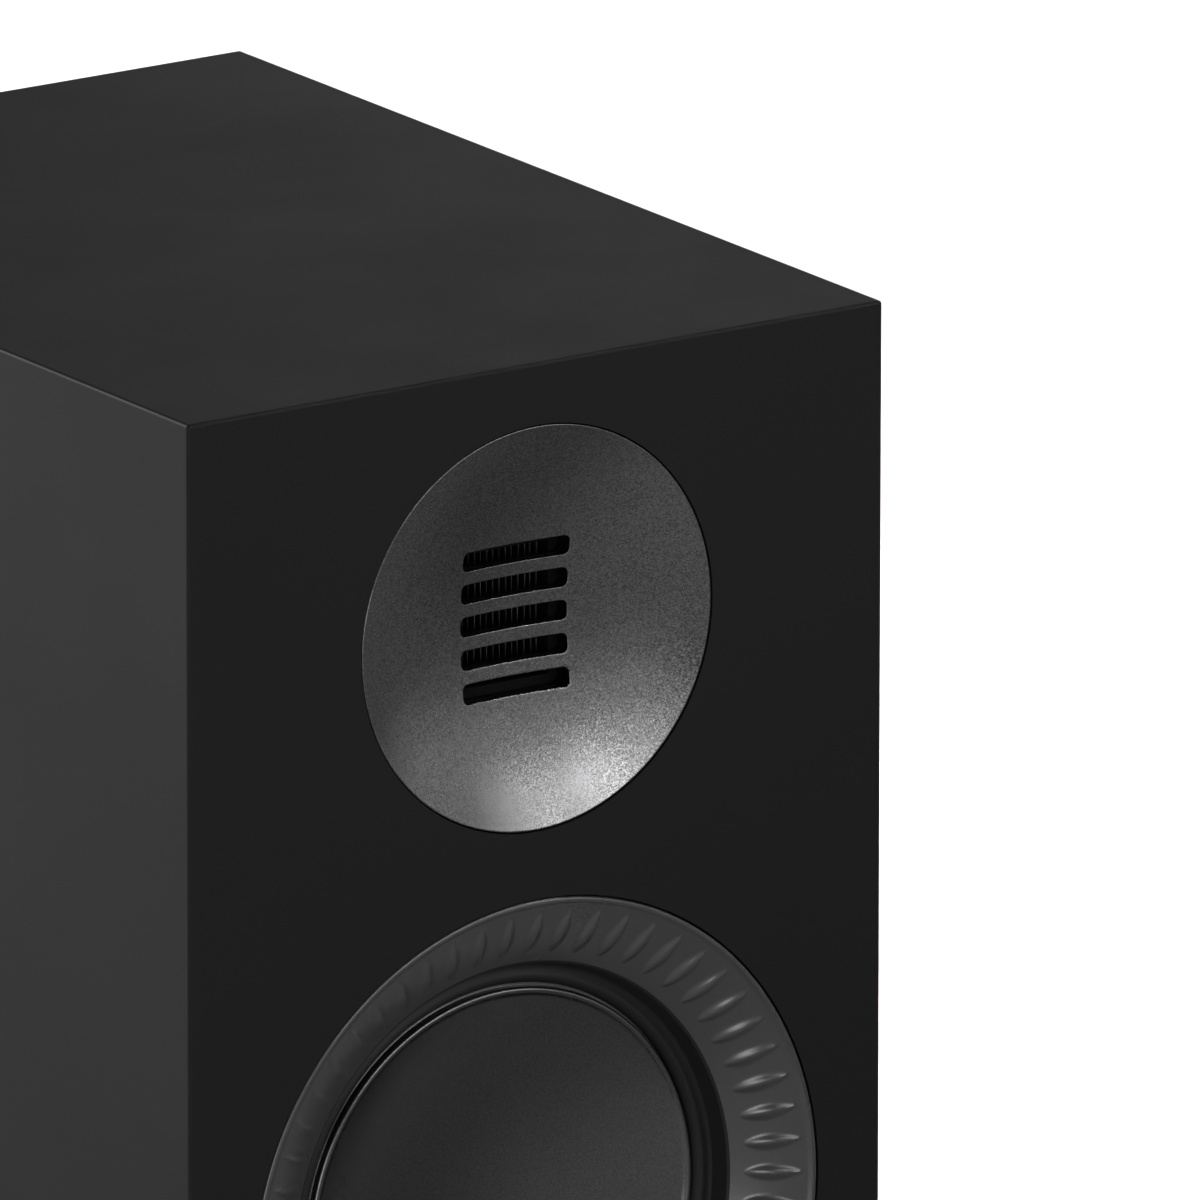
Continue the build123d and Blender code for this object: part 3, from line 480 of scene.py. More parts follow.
# %% Loops of points round a slot
BOWL_DEEP = 10.1
PLATE_R = 45.3
PLATE_THICK = 1.2
SKIRT_DEEP = 8.8
RIM_ROUND = 0.5
BOWL_SPHERE = (PLATE_R**2 + BOWL_DEEP**2) / (2 * BOWL_DEEP)
SLOT_HALF = np.array([13.8, 2.2])
SLOT_CORNER = 1.4
SLOT_PITCH = 7.42
SLOT_ROWS = (np.arange(5) - 2) * SLOT_PITCH
CELL_HALF = np.array([17.5, SLOT_PITCH / 2])
SLOT_EDGE = 0.16
TURN, SHORT, LONG = 8, 6, 40
CELL_ROWS, SHEET_ROWS = 5, 20
RIM_BULGE = 0.12
SKIRT_START = 2.0
INNER = SLOT_HALF - SLOT_CORNER
SIGNS = np.array([(1, -1), (1, 1), (-1, 1), (-1, -1)])
CORNER_AT = np.cumsum([TURN // 2, TURN + SHORT, TURN + LONG, TURN + SHORT])


def loop(turns):
    """Joins the points of four corners by the points of the straight sides between them."""
    parts = []
    for k, side in enumerate((SHORT, LONG, SHORT, LONG)):
        ahead = turns[(k + 1) % 4][0]
        parts += [turns[k], np.linspace(turns[k][-1], ahead, side + 1)[1:-1]]
    return np.concatenate(parts)


def slot_loop(grow):
    """The slot's rounded outline, grown outwards."""
    turns = []
    for k, sign in enumerate(SIGNS):
        angle = math.radians(90 * (k - 1)) + np.linspace(0, math.pi / 2, TURN + 1)
        arc = np.stack([np.cos(angle), np.sin(angle)], axis=-1)
        turns.append(INNER * sign + (SLOT_CORNER + grow) * arc)
    return loop(turns)


def cell_loop():
    """The cell's rectangle. Half of a corner's points go to each of the two sides that meet there."""
    turns = []
    for k, sign in enumerate(SIGNS):
        flat, upright = np.array([INNER[0], CELL_HALF[1]]), np.array([CELL_HALF[0], INNER[1]])
        first, last = (flat, upright) if k % 2 == 0 else (upright, flat)
        into = np.linspace(first * sign, CELL_HALF * sign, TURN // 2 + 1)
        out = np.linspace(CELL_HALF * sign, last * sign, TURN // 2 + 1)[1:]
        turns.append(np.concatenate([into, out]))
    return loop(turns)


def block_loop():
    """The outline of the five cells together, taken from the cells' own outer points."""
    cell = cell_loop()
    right, top, left = (cell[CORNER_AT[k]:CORNER_AT[k + 1]] for k in range(3))
    bottom = np.concatenate([cell[CORNER_AT[3]:], cell[:CORNER_AT[0]]])
    rows = [np.array([0, row]) for row in SLOT_ROWS]
    up = [right + row for row in rows]
    down = [left + row for row in reversed(rows)]
    return np.concatenate(up + [top + rows[-1]] + down + [bottom + rows[0]])


print("points round a slot:", len(cell_loop()), "round the block:", len(block_loop()))


# %% Tweeter plate
def bowl_depth(across, shift):
    """Depth of the bowl's face at points (x, z); shift moves it back along its own normal."""
    distance = np.linalg.norm(across, axis=-1)
    return BOWL_DEEP - BOWL_SPHERE + np.sqrt((BOWL_SPHERE + shift) ** 2 - distance**2)


def wrapped(rows):
    """Repeats the first column of every row at its end, so that the loop closes."""
    return np.concatenate([rows, rows[:, :1]], axis=1)


def placed(across, depth):
    """Points in metres on the tweeter's axis from (x, z) and depth in mm."""
    x, z = across[..., 0] * MM, TWEETER_Z + across[..., 1] * MM
    return wrapped(np.stack([x, FRONT + depth * MM, z], axis=-1))


def between(first, last, steps):
    """Rows of points that run from one loop to another."""
    share = np.linspace(0, 1, steps + 1)[:, None, None]
    return (1 - share) * first + share * last


def plate_patches():
    """The front sheet, the back sheet, the slots' walls and the rim with its skirt."""
    patches = []
    block = block_loop()
    outward = block / np.linalg.norm(block, axis=-1, keepdims=True)
    inside = PLATE_R - PLATE_THICK
    for shift, rim in ((0.0, PLATE_R - RIM_ROUND), (PLATE_THICK, inside)):
        sheet = between(block, outward * rim, SHEET_ROWS)
        patches.append(placed(sheet, bowl_depth(sheet, shift)))
    turn = np.linspace(0, math.pi / 2, 5)
    for row in SLOT_ROWS:
        offset = np.array([0, row])
        outer = slot_loop(SLOT_EDGE) + offset
        front = between(outer, cell_loop() + offset, CELL_ROWS)
        patches.append(placed(front, bowl_depth(front, 0.0)))
        edge = np.stack([slot_loop(SLOT_EDGE * (1 - math.sin(a))) + offset for a in turn])
        sunk = SLOT_EDGE * (1 - np.cos(turn))[:, None]
        patches.append(placed(edge, bowl_depth(edge, 0.0) + sunk))
        wall = between(edge[-1], edge[-1], 1)
        deep = np.stack([bowl_depth(edge[-1], 0.0) + SLOT_EDGE, bowl_depth(edge[-1], PLATE_THICK)])
        patches.append(placed(wall, deep))
        back = between(edge[-1], cell_loop() + offset, CELL_ROWS)
        patches.append(placed(back, bowl_depth(back, PLATE_THICK)))
    rim_start = float(bowl_depth(np.array([PLATE_R - RIM_ROUND, 0.0]), 0.0))
    turned = np.linspace(0, math.pi / 2, 7)
    radii = PLATE_R - RIM_ROUND * (1 - np.sin(turned))
    depths = rim_start + (RIM_ROUND - rim_start) * (1 - np.cos(turned))
    depths -= RIM_BULGE * np.sin(2 * turned)
    radii = np.append(radii, [PLATE_R, PLATE_R, inside, inside])
    back_start = float(bowl_depth(np.array([inside, 0.0]), PLATE_THICK))
    depths = np.append(depths, [SKIRT_START, SKIRT_DEEP, SKIRT_DEEP, back_start])
    around = outward[None] * radii[:, None, None]
    patches.append(placed(around, depths[:, None] + 0 * around[..., 0]))
    return patches


plate = skin("tweeter_bowl_plate", *plate_patches())
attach(plate, "cabinet")
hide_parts("tweeter_faceplate")
print("tweeter plate:", count_triangles(plate), "triangles")

# %% [markdown]
# ### Its finish
#
# Blasting with fine beads leaves the aluminium covered in tiny facets, and the dark anodising keeps
# them. The facet brightness goes into the colour, and a small tilt of the normals makes single facets
# flash where the bowl mirrors the light.

# %% Blasted aluminium
def blasted_metal(name, dark, light, rough, tilt_by, scale):
    """A metal whose facets vary between a dark and a light grey and tilt a little."""
    material = finish(name, light, rough, metal=1.0, depth=0.05)
    tree = material.node_tree
    shader = tree.nodes["Principled BSDF"]
    flakes = add(tree, "ShaderNodeGroup", node_tree=sparkle)
    flakes.inputs["Scale"].default_value = scale
    flakes.inputs["Tilt"].default_value = tilt_by
    mix = add(tree, "ShaderNodeMix", data_type="RGBA")
    mix.inputs["A"].default_value = (*dark, 1)
    mix.inputs["B"].default_value = (*light, 1)
    tree.links.new(flakes.outputs["Flake"], mix.inputs["Factor"])
    tree.links.new(mix.outputs["Result"], shader.inputs["Base Color"])
    tree.links.new(flakes.outputs["Normal"], shader.inputs["Normal"])
    return material


DARK_FACET, LIGHT_FACET = (0.09, 0.09, 0.091), (0.25, 0.25, 0.253)
plate_metal = blasted_metal("blasted_dark_aluminium", DARK_FACET, LIGHT_FACET,
                            rough=0.26, tilt_by=0.09, scale=4200.0)
plate.data.materials.append(plate_metal)
print("plate finish:", plate_metal.name)

# %% [markdown]
# ## The folded film
#
# Behind the slots hangs the tweeter's diaphragm: a thin metallised film folded like a fan, whose
# folds squeeze the air out. Real folds are round and never quite even, so the fold's depth and place
# wander a little, by sums of sines that repeat exactly on every run.

# %% Folded film
FOLDS = 14
FOLD_PITCH = 1.62
FILM_FRONT, FILM_DEEP, FILM_TALL = 15.9, 5.2, 29.5
FILM_THICK = 0.2
FOLD_FLAT = 1.6
FOLD_STEPS, FILM_ROWS = 14, 16


def film_patches():
    """Front and back of the film on a grid: across the folds, and up along them."""
    u = np.linspace(-FOLDS / 2, FOLDS / 2, FOLDS * FOLD_STEPS + 1)[:, None]
    v = np.linspace(-0.5, 0.5, FILM_ROWS + 1)[None, :]
    wander = 0.05 * np.sin(1.7 * u + 3.1 * v) + 0.04 * np.sin(0.9 * u - 5.0 * v)
    phase = 2 * math.pi * u
    fold = 0.5 + 0.5 * np.tanh(FOLD_FLAT * np.cos(phase)) / math.tanh(FOLD_FLAT)
    x = (u + wander) * FOLD_PITCH
    z = v * FILM_TALL + 0 * u
    front = FILM_FRONT + FILM_DEEP * (0.02 + 0.96 * fold) + 0.12 * np.sin(2.3 * u + 4 * v)
    sheets = []
    for thick in (0.0, FILM_THICK):
        sheets.append(np.stack([x, front + thick + 0 * x, z], axis=-1))
    edges = [
        np.stack([sheets[0][:, 0], sheets[1][:, 0]]),
        np.stack([sheets[0][:, -1], sheets[1][:, -1]]),
        np.stack([sheets[0][0], sheets[1][0]]),
        np.stack([sheets[0][-1], sheets[1][-1]]),
    ]
    return [p * MM + np.array([0, FRONT, TWEETER_Z]) for p in sheets + edges]


film = skin("folded_diaphragm", *film_patches())
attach(film, "cabinet")
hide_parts("tweeter_folded_film")
film_metal = finish("metallised_film", (0.07, 0.07, 0.071), 0.38, metal=1.0,
                    grain_scale=1500.0, spread=0.15)
film.data.materials.append(film_metal)
print("film:", count_triangles(film), "triangles")

# %% [markdown]
# ## The ribbed surround
#
# The rubber ring leans in from the baffle to the dish. Moulded on it are 57 raised ribs, each shaped
# like a leaf: broad in the middle, pointed at the outer end and rounder at the inner end. They let
# the ring fold evenly as the dish moves. The ring is one turned surface, and the rib's height is
# added along the surface's own normal as a function of radius and angle. A bead stands at the outer
# edge, and inside the ribs the face drops into a groove. The groove's roll gets a darker, duller
# rubber than the face, as painted shade for the deep groove.

# %% Surround outline and ribs
RIBS = 57
RIB_IN, RIB_OUT = 59.4, 70.6
RIB_HALF_WIDTH = 2.45
RIB_HEIGHT = 0.8
RIB_COLUMNS = 16
FACE_STEPS = 52
LEAF_SHIFT, LEAF_BLUNT, LEAF_TAPER = 0.9, 0.7, 0.25
RIM_R, RIM_BACK = 73.4, 1.6
FACE_TOP, FACE_MIDDLE, FACE_FOOT = (71.6, 0.62), (64.6, 4.05), (56.9, 9.3)
LIP = (50.9, 14.6)
# Inside this radius the groove's roll takes a darker rubber, as painted shade.
SHADED_GROOVE_R = 56.7 * MM


def through_arc(first, middle_point, last, steps):
    """Points on the circle through three points, from the first to the last."""
    (ax, ay), (bx, by), (cx, cy) = first, middle_point, last
    d = 2 * (ax * (by - cy) + bx * (cy - ay) + cx * (ay - by))
    ux = ((ax**2 + ay**2) * (by - cy) + (bx**2 + by**2) * (cy - ay) + (cx**2 + cy**2) * (ay - by)) / d
    uy = ((ax**2 + ay**2) * (cx - bx) + (bx**2 + by**2) * (ax - cx) + (cx**2 + cy**2) * (bx - ax)) / d
    radius = math.hypot(ax - ux, ay - uy)
    start_angle, mid_angle, end_angle = (math.atan2(y - uy, x - ux) for x, y in (first, middle_point, last))
    turn = (end_angle - start_angle) % (2 * math.pi)
    if (mid_angle - start_angle) % (2 * math.pi) > turn:
        turn -= 2 * math.pi
    angle = start_angle + np.linspace(0, 1, steps + 1) * turn
    return np.stack([ux + radius * np.cos(angle), uy + radius * np.sin(angle)], axis=-1)


def surround_outline():
    """The ring's cross section from its outer edge, down the face to the lip, and back behind."""
    bead = rounded([(RIM_R, RIM_BACK), (RIM_R, -0.1, 0.6), (72.3, -0.1, 0.3), FACE_TOP], 6)
    face = through_arc(FACE_TOP, FACE_MIDDLE, FACE_FOOT, FACE_STEPS)
    groove = rounded([FACE_FOOT, (56.3, 9.75, 0.4), (54.9, 13.9, 0.9), (53.6, 13.9),
                      (52.3, 13.2, 1.0), LIP], 4)
    behind = rounded([LIP, (50.4, 15.4, 0.2), (53.5, 15.4), (56.9, 13.9), (57.6, 11.2), (61.5, 7.6),
                      (65.8, 5.0), (RIM_R, 5.0, 0.1), (RIM_R, RIM_BACK)], 3)
    return np.concatenate([bead, face[1:], groove[1:], behind[1:]]), len(bead)


def rib_height(radius, angle):
    """Height of the ribs: a ridge across, scaled by the leaf's half width at each radius."""
    along = np.clip((radius - RIB_IN) / (RIB_OUT - RIB_IN), 0, 1)
    leaf = np.sin(math.pi * along**LEAF_SHIFT) ** LEAF_BLUNT * (1 - LEAF_TAPER * along)
    pitch = 2 * math.pi / RIBS
    away = np.abs((angle + pitch / 2) % pitch - pitch / 2) * radius
    across = np.clip(away / np.maximum(RIB_HALF_WIDTH * leaf, 1e-6), 0, 1)
    ridge = 0.5 + 0.5 * np.cos(math.pi * across)
    return RIB_HEIGHT * ridge * np.sin(math.pi * along) ** LEAF_BLUNT


outline, bead_end = surround_outline()
slope = np.gradient(outline, axis=0)
normal = np.stack([slope[:, 1], -slope[:, 0]], axis=-1)
normal /= np.linalg.norm(normal, axis=-1, keepdims=True)
normal *= -np.sign(normal[bead_end:bead_end + FACE_STEPS, 1].mean())
angle = np.linspace(0, 2 * math.pi, RIBS * RIB_COLUMNS + 1)[:, None]
step = np.arange(len(outline))
on_face = (step >= bead_end) & (step < bead_end + FACE_STEPS - 1)
height = rib_height(outline[:, 0][None], angle) * on_face
radius = (outline[:, 0] + height * normal[:, 0]) * MM
depth = (outline[:, 1] + height * normal[:, 1]) * MM
points = np.stack([radius * np.cos(angle), FRONT + depth, WOOFER_Z + radius * np.sin(angle)], axis=-1)
surround = skin("ribbed_surround", points)
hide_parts("woofer_surround")
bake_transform(surround)
rubber = finish("matt_rubber", (0.038, 0.038, 0.0385), 0.31, grain_scale=2200.0, depth=0.12, spread=0.2,
                Specular_IOR_Level=1.0)
surround.data.materials.append(rubber)
# Painted shade: a darker, less shiny rubber on the groove's roll, so that it reads as the shade in the deep
# groove.
groove_shade_rubber = finish("groove_painted_shade_rubber", (0.012, 0.012, 0.012), 0.55, grain_scale=2200.0,
                     depth=0.12, spread=0.2, Specular_IOR_Level=0.25)
surround.data.materials.append(groove_shade_rubber)
for face in surround.data.polygons:
    if math.hypot(face.center.x, face.center.z - WOOFER_Z) < SHADED_GROOVE_R:
        face.material_index = 1
print("surround:", count_triangles(surround), "triangles")

# %% [markdown]
# ## The dish
#
# The diaphragm is one smooth hollow, with no dust cap in the middle. Its edge is rolled over into a
# bead that catches a bright line. The outline runs over the front, round the bead, down to the flange
# that the surround is glued to, and back behind.

# %% Woofer dish
DISH_R, DISH_EDGE, DISH_SPHERE, DISH_THICK = 48.3, 14.0, 110.0, 0.8
BEAD_CREST, BEAD_END = (49.1, 13.45), (49.9, 14.5)
SEAT_R, SEAT_FRONT, SEAT_BACK = 53.5, 15.4, 16.3
BACK_R = DISH_R - 0.4


def dish_depth(at, shift=0.0):
    """Depth of the dish's face at a radius."""
    centre = DISH_EDGE - math.sqrt(DISH_SPHERE**2 - DISH_R**2)
    return centre + np.sqrt((DISH_SPHERE + shift) ** 2 - at**2)


front_r = np.linspace(0, DISH_R, 60)
back_r = np.linspace(BACK_R, 0, 30)
seat = rounded([BEAD_END, (BEAD_END[0], SEAT_FRONT, 0.15), (SEAT_R, SEAT_FRONT, 0.1),
                (SEAT_R, SEAT_BACK, 0.1), (BACK_R, SEAT_BACK)], 3)
dish_outline = np.concatenate([
    np.stack([front_r, dish_depth(front_r)], axis=-1),
    through_arc((DISH_R, DISH_EDGE), BEAD_CREST, BEAD_END, 10)[1:],
    seat[1:],
    np.stack([back_r, dish_depth(back_r, DISH_THICK)], axis=-1),
])
dish = skin("smooth_dish", carried(dish_outline, WOOFER_Z, turns=288))
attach(dish, "moving_dish")
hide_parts("woofer_dish")
dish_metal = blasted_metal("satin_black_dish", DARK_FACET, (0.15, 0.15, 0.151),
                           rough=0.27, tilt_by=0.02, scale=6000.0)
dish.data.materials.append(dish_metal)
print("dish:", count_triangles(dish), "triangles")

# %% [markdown]
# ## The bass port
#
# The port is blow-moulded with a flared mouth, so that the air leaves it without chuffing. A fine
# turned surface keeps the flare's highlight smooth.

# %% Port tube
MOUTH = (BACK - FRONT) / MM
PORT_R, PORT_FLARE, PORT_WALL, PORT_LONG, FLANGE_R = 19.0, 8.0, 2.5, 105.0, 33.0
FLANGE_BACK = MOUTH - 3.0
INNER_END = MOUTH - PORT_LONG
PORT_OUT = PORT_R + PORT_WALL
flare_mid = PORT_FLARE * (1 - math.sqrt(0.5))
flare = through_arc((PORT_R, MOUTH - PORT_FLARE), (PORT_R + flare_mid, MOUTH - flare_mid),
                    (PORT_R + PORT_FLARE, MOUTH), 16)
collar = rounded([(PORT_R + PORT_FLARE, MOUTH), (FLANGE_R, MOUTH, 0.8), (FLANGE_R, FLANGE_BACK, 0.2),
                  (PORT_R + PORT_FLARE + 1.5, FLANGE_BACK, 0.5), (23.8, MOUTH - 5.5, 1.0),
                  (PORT_OUT, MOUTH - 11.0, 1.0), (PORT_OUT, INNER_END + 3, 0.5), (24.0, INNER_END, 0.2),
                  (PORT_OUT, INNER_END)])
inner_flare = through_arc((PORT_OUT, INNER_END), (PORT_R + 0.73, INNER_END + 0.73),
                          (PORT_R, INNER_END + 2.5), 8)
port_outline = np.concatenate([flare, collar[1:], inner_flare[1:], [[PORT_R, MOUTH - PORT_FLARE]]])
port = skin("flared_port", carried(port_outline, PORT_Z, turns=192))
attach(port, "cabinet")
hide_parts("port_tube")
port_plastic = finish("port_plastic", (0.02, 0.02, 0.021), 0.45, grain_scale=1400.0,
                      depth=0.35, spread=0.15)
port.data.materials.append(port_plastic)
print("port:", count_triangles(port), "triangles")

# %% [markdown]
# ## The binding posts' caps
#
# Fingers grip the caps, so they are fluted: 24 shallow grooves run along each. The cap is a turned
# surface whose radius dips at every groove, and the dip fades out towards both ends so that the
# rounded ends stay whole.

# %% Screw caps
CAP_R, CAP_BORE, CAP_LONG, CAP_FLUTES = 7.5, 3.46, 19.0, 24
RELIEF, RELIEF_LONG = 3.7, 4.2
FLUTE_DEEP, FLUTE_ENDS = 0.45, 3.0
CAP_ROUND, TIP_ROUND = 0.8, 1.2
CAP_ROWS, CAP_TURNS = 24, CAP_FLUTES * 12


def cap_patches(node):
    """The fluted outside and the bore of one cap."""
    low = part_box(node)[0]
    across, height = middle(node).x, middle(node).z
    outside = rounded([(CAP_BORE, 0), (CAP_R, 0, CAP_ROUND), (CAP_R, CAP_LONG, TIP_ROUND),
                       (CAP_BORE, CAP_LONG)], 6)
    straight = np.stack([np.full(CAP_ROWS, CAP_R),
                         np.linspace(CAP_ROUND, CAP_LONG - TIP_ROUND, CAP_ROWS)], axis=-1)
    cut = np.argmax(outside[:, 1] > 1)
    outside = np.concatenate([outside[:cut], straight[1:-1], outside[cut:]])
    inside = np.array([(CAP_BORE, CAP_LONG), (CAP_BORE, RELIEF_LONG), (RELIEF, RELIEF_LONG),
                       (RELIEF, 0), (CAP_BORE, 0)])
    turn = np.linspace(0, 2 * math.pi, CAP_TURNS + 1)[:, None]
    fade = np.clip(np.minimum(outside[:, 1] - 0.6, CAP_LONG - 1.0 - outside[:, 1]) / FLUTE_ENDS, 0, 1)
    flute = (0.5 + 0.5 * np.cos(CAP_FLUTES * turn)) ** 2
    dip = FLUTE_DEEP * flute * np.sqrt(fade) * (outside[:, 0] > CAP_R - 1)
    radius = (outside[:, 0] - dip) * MM
    depth = outside[:, 1] * MM
    x, z = across + radius * np.cos(turn), height + radius * np.sin(turn)
    shell = np.stack([x, low.y + depth + 0 * turn, z], axis=-1)
    return [shell, carried(inside, height, CAP_TURNS, across, low.y)]


for colour, tint in (("red", (0.42, 0.012, 0.012)), ("black", (0.016, 0.016, 0.017))):
    cap = skin(f"{colour}_fluted_cap", *cap_patches(f"{colour}_post_cap"))
    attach(cap, f"{colour}_cap")
    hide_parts(f"{colour}_post_cap")
    plastic = finish(f"{colour}_cap_plastic", tint, 0.3, grain_scale=1800.0, depth=0.15, spread=0.08)
    cap.data.materials.append(plastic)
    print(cap.name, count_triangles(cap), "triangles")

# %% [markdown]
# ## The feet
#
# Stick-on rubber feet are slightly hollow underneath, so they grip by their rims, and their edges are
# rounded by the mould.

# %% Rubber feet
FOOT_R, FOOT_TALL = 8.0, 3.0
HOLLOW_R, HOLLOW_DEEP = 5.0, 0.5
FOOT_TURNS = 72


def foot_patch(across, along):
    """One foot, turned about a vertical axis: top, rounded side and hollow underside."""
    line = rounded([(0, FOOT_TALL), (FOOT_R, FOOT_TALL, 0.2), (FOOT_R, 0, 0.8),
                    (HOLLOW_R + 1.2, 0, 0.3), (HOLLOW_R, HOLLOW_DEEP, 0.5), (0, HOLLOW_DEEP)])
    turn = np.linspace(0, 2 * math.pi, FOOT_TURNS + 1)[:, None]
    radius, tall = line[:, 0] * MM, line[:, 1] * MM
    x, y = across + radius * np.cos(turn), along + radius * np.sin(turn)
    return np.stack([x, y, tall + 0 * turn], axis=-1)


low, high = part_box("rubber_feet")
inset = FOOT_R * MM
foot_places = [(x, y) for x in (low.x + inset, high.x - inset) for y in (low.y + inset, high.y - inset)]
feet = skin("moulded_feet", *[foot_patch(x, y) for x, y in foot_places])
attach(feet, "cabinet")
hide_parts("rubber_feet")
foot_rubber = finish("foot_rubber", (0.015, 0.015, 0.015), 0.7, grain_scale=900.0, depth=0.3, spread=0.25)
feet.data.materials.append(foot_rubber)
print("feet:", count_triangles(feet), "triangles")

# %% [markdown]
# ## The damping foam
#
# The cabinet is lined with convoluted foam, like an egg box, which soaks up the sound inside. It is a
# grid whose inner side swells in rows of bumps that die away at the pad's edges.

# %% Foam linings
BUMP_PITCH, BUMP_FADE = 16.0 * MM, 4 * MM
SOLID_SHARE = 0.45
FOAM_ROWS, FOAM_COLUMNS = 97, 191


def foam_patches(node, side):
    """The bumpy inner face, the flat face on the wall, and the four edges between."""
    low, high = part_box(node)
    y = np.linspace(low.y, high.y, FOAM_ROWS)[:, None]
    z = np.linspace(low.z, high.z, FOAM_COLUMNS)[None, :]
    wall, inner = (low.x, high.x) if side < 0 else (high.x, low.x)
    base = wall + SOLID_SHARE * (inner - wall)
    edge = np.minimum(np.minimum(y - low.y, high.y - y), np.minimum(z - low.z, high.z - z))
    fade = np.clip(edge / BUMP_FADE, 0, 1) ** 0.5
    bumps = 0.5 + 0.5 * np.sin(2 * math.pi * y / BUMP_PITCH) * np.sin(2 * math.pi * z / BUMP_PITCH)
    x = base + (inner - base) * bumps * fade
    inner_face = np.stack([x, y + 0 * z, z + 0 * y], axis=-1)
    wall_face = np.stack([wall + 0 * x, y + 0 * z, z + 0 * y], axis=-1)
    edges = [np.stack([inner_face[k], wall_face[k]]) for k in (0, -1)]
    edges += [np.stack([inner_face[:, k], wall_face[:, k]]) for k in (0, -1)]
    return [inner_face, wall_face, *edges]


foam_skin = finish("open_cell_foam", (0.05, 0.05, 0.053), 0.95, grain_scale=900.0, depth=1.0, spread=0.45)
for side, name in ((-1, "left"), (1, "right")):
    foam = skin(f"{name}_egg_crate_foam", *foam_patches(f"{name}_damping_foam", side))
    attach(foam, "cabinet")
    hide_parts(f"{name}_damping_foam")
    foam.data.materials.append(foam_skin)
    print(foam.name, count_triangles(foam), "triangles")

# %% [markdown]
# ## The other parts
#
# The remaining designed parts have the right shape already, so they only need finishes. Where a
# material has its own structure, such as cloth or a winding, its threads are laid over the finish,
# with painted shade between the threads and a painted highlight on their crests.

# %% Finishes for the other parts
def threaded(name, colour, rough, metal, scale, along_x, along_z, depth):
    """A finish with sine threads: their height tilts the normal and scales the colour, as painted shade in
    the valleys and a painted highlight on the crests.
    """
    material = finish(name, colour, rough, metal=metal)
    tree = material.node_tree
    shader = tree.nodes["Principled BSDF"]
    weave = add(tree, "ShaderNodeGroup", node_tree=threads)
    weave.inputs["Scale"].default_value = scale
    weave.inputs["Along X"].default_value = along_x
    weave.inputs["Along Z"].default_value = along_z
    relief = add(tree, "ShaderNodeBump", {"Distance": depth, "Strength": 1.0})
    # Painted shade and highlight: the colour is scaled from 0.6 in the thread valleys to 1.1 on the crests.
    thread_shade_levels = {"From Min": -1.0, "From Max": 1.0, "To Min": 0.6, "To Max": 1.1}
    dark = add(tree, "ShaderNodeMapRange", thread_shade_levels)
    tint = add(tree, "ShaderNodeVectorMath", {0: colour}, operation="SCALE")
    tree.links.new(weave.outputs["Height"], relief.inputs["Height"])
    tree.links.new(weave.outputs["Height"], dark.inputs["Value"])
    tree.links.new(dark.outputs["Result"], tint.inputs["Scale"])
    tree.links.new(tint.outputs[0], shader.inputs["Base Color"])
    tree.links.new(relief.outputs["Normal"], shader.inputs["Normal"])
    return material


moulded = finish("moulded_black_plastic", (0.018, 0.018, 0.019), 0.45, grain_scale=1300.0,
                 depth=0.4, spread=0.15)
dress(moulded, "terminal_cup", "black_post_base", "red_post_base")
# These parts are black plastic. Their near-black colour and faint reflection are also painted shade for
# where they are seen deep in the tweeter's slots.
slot_shade_plastic = finish("black_plastic_painted_slot_shade", (0.004, 0.004, 0.004), 0.8, grain_scale=1300.0, depth=0.4, spread=0.15,
              Specular_IOR_Level=0.1)
dress(slot_shade_plastic, "tweeter_chassis", "tweeter_film_frame", "tweeter_rear_chamber")
seal = finish("closed_cell_foam", (0.03, 0.03, 0.03), 0.9, grain_scale=1500.0, depth=0.8, spread=0.3)
dress(seal, "tweeter_gasket", "woofer_gasket")
steel = finish("black_zinc_steel", (0.025, 0.025, 0.026), 0.38, metal=0.9, grain_scale=1600.0, spread=0.2)
dress(steel, "tweeter_screws", "woofer_screws", "terminal_cup_screws", "tweeter_front_pole",
      "tweeter_rear_pole", "woofer_top_plate", "woofer_yoke")
nickel = finish("nickel_plate", (0.55, 0.54, 0.52), 0.25, metal=1.0, grain_scale=1200.0, spread=0.06)
dress(nickel, "tweeter_magnets")
ferrite = finish("sintered_ferrite", (0.035, 0.035, 0.038), 0.6, grain_scale=1000.0, depth=0.5, spread=0.3)
dress(ferrite, "woofer_magnet")
casting = finish("powder_coated_casting", (0.022, 0.022, 0.023), 0.5, grain_scale=900.0,
                 depth=0.7, spread=0.2)
dress(casting, "woofer_basket")
amber = finish("amber_former", (0.5, 0.27, 0.08), 0.35, grain_scale=1500.0, spread=0.1)
dress(amber, "voice_coil_former")
brass = finish("tinned_brass", (0.68, 0.56, 0.33), 0.32, metal=1.0, grain_scale=1100.0, spread=0.1)
dress(brass, "tweeter_solder_tabs", "woofer_solder_tabs", "crossover_standoffs", "woofer_tinsel_leads")
gold = finish("gold_plate", (0.86, 0.62, 0.27), 0.22, metal=1.0, grain_scale=1500.0, spread=0.05)
dress(gold, "black_post", "red_post", "black_clamp_washer", "red_clamp_washer")
solder_mask = finish("green_solder_mask", (0.012, 0.11, 0.045), 0.3, grain_scale=700.0, spread=0.25)
dress(solder_mask, "crossover_board", "woofer_terminal_board")
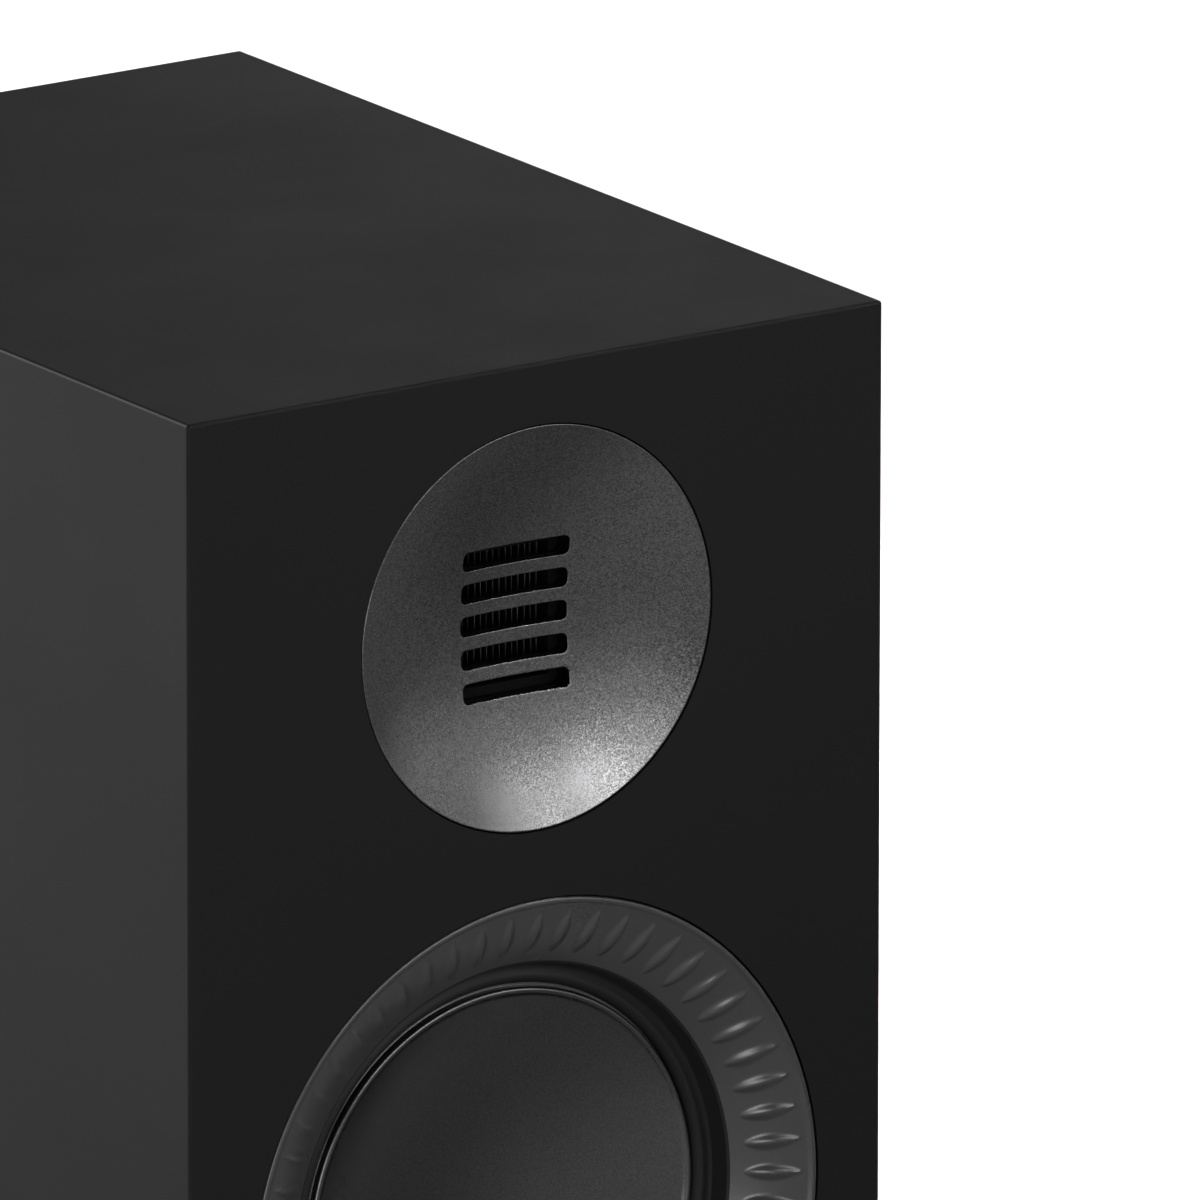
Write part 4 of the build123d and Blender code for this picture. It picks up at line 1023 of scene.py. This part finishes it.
zinc = finish("bright_zinc", (0.62, 0.63, 0.64), 0.35, metal=1.0, grain_scale=900.0, spread=0.15)
dress(zinc, "crossover_screws", "post_nuts")
wrap = finish("wrapped_film_case", (0.34, 0.035, 0.02), 0.28, grain_scale=900.0, spread=0.12)
dress(wrap, "crossover_capacitors")
cement = finish("white_cement", (0.66, 0.64, 0.58), 0.85, grain_scale=1200.0, depth=0.6, spread=0.12)
dress(cement, "crossover_resistors")
sleeve = finish("wire_sleeve", (0.03, 0.03, 0.03), 0.5, grain_scale=1500.0, spread=0.15)
dress(sleeve, "input_wires", "woofer_wires", "tweeter_wires")
board = finish("bare_fibreboard", (0.36, 0.24, 0.14), 0.85, grain_scale=700.0, depth=0.6, spread=0.3)
dress(board, "window_brace")
cloth = threaded("resin_cloth", (0.42, 0.29, 0.13), 0.8, 0.0, 9000.0, 0.5, 0.5, 0.08 * MM)
dress(cloth, "woofer_spider")
copper = threaded("enamelled_copper", (0.62, 0.21, 0.08), 0.25, 1.0, 7000.0, 0.0, 1.0, 0.1 * MM)
dress(copper, "voice_coil", "woofer_inductor", "tweeter_inductor")
print("finishes:", len(bpy.data.materials))

# %% [markdown]
# ## The woofer's leads
#
# Two braided leads carry the signal from the fixed tabs to the moving coil, and their braid flexes as
# the dish travels. Here a copy of the designed leads takes their place, with its touching points
# merged and smooth shading. It is not bent, and it stays where the designed leads stand.

# %% Copied leads
leads = bpy.data.objects.new("flexing_leads", nodes["woofer_tinsel_leads"].data.copy())
form = bmesh.new()
form.from_mesh(leads.data)
bmesh.ops.remove_doubles(form, verts=form.verts[:], dist=MERGE)
form.to_mesh(leads.data)
form.free()
leads.data.shade_smooth()
scene.collection.objects.link(leads)
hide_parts("woofer_tinsel_leads")
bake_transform(leads)
print("leads:", count_triangles(leads), "triangles")

# %% [markdown]
# ## Finish
#
# The two boxes show how far the finished object reaches beside the designed one.

# %% Write the sizes and finish
shown_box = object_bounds()
for label, (near, far) in (("designed", cad_box), ("shown", shown_box)):
    print(label, [round(c, 4) for c in far - near])
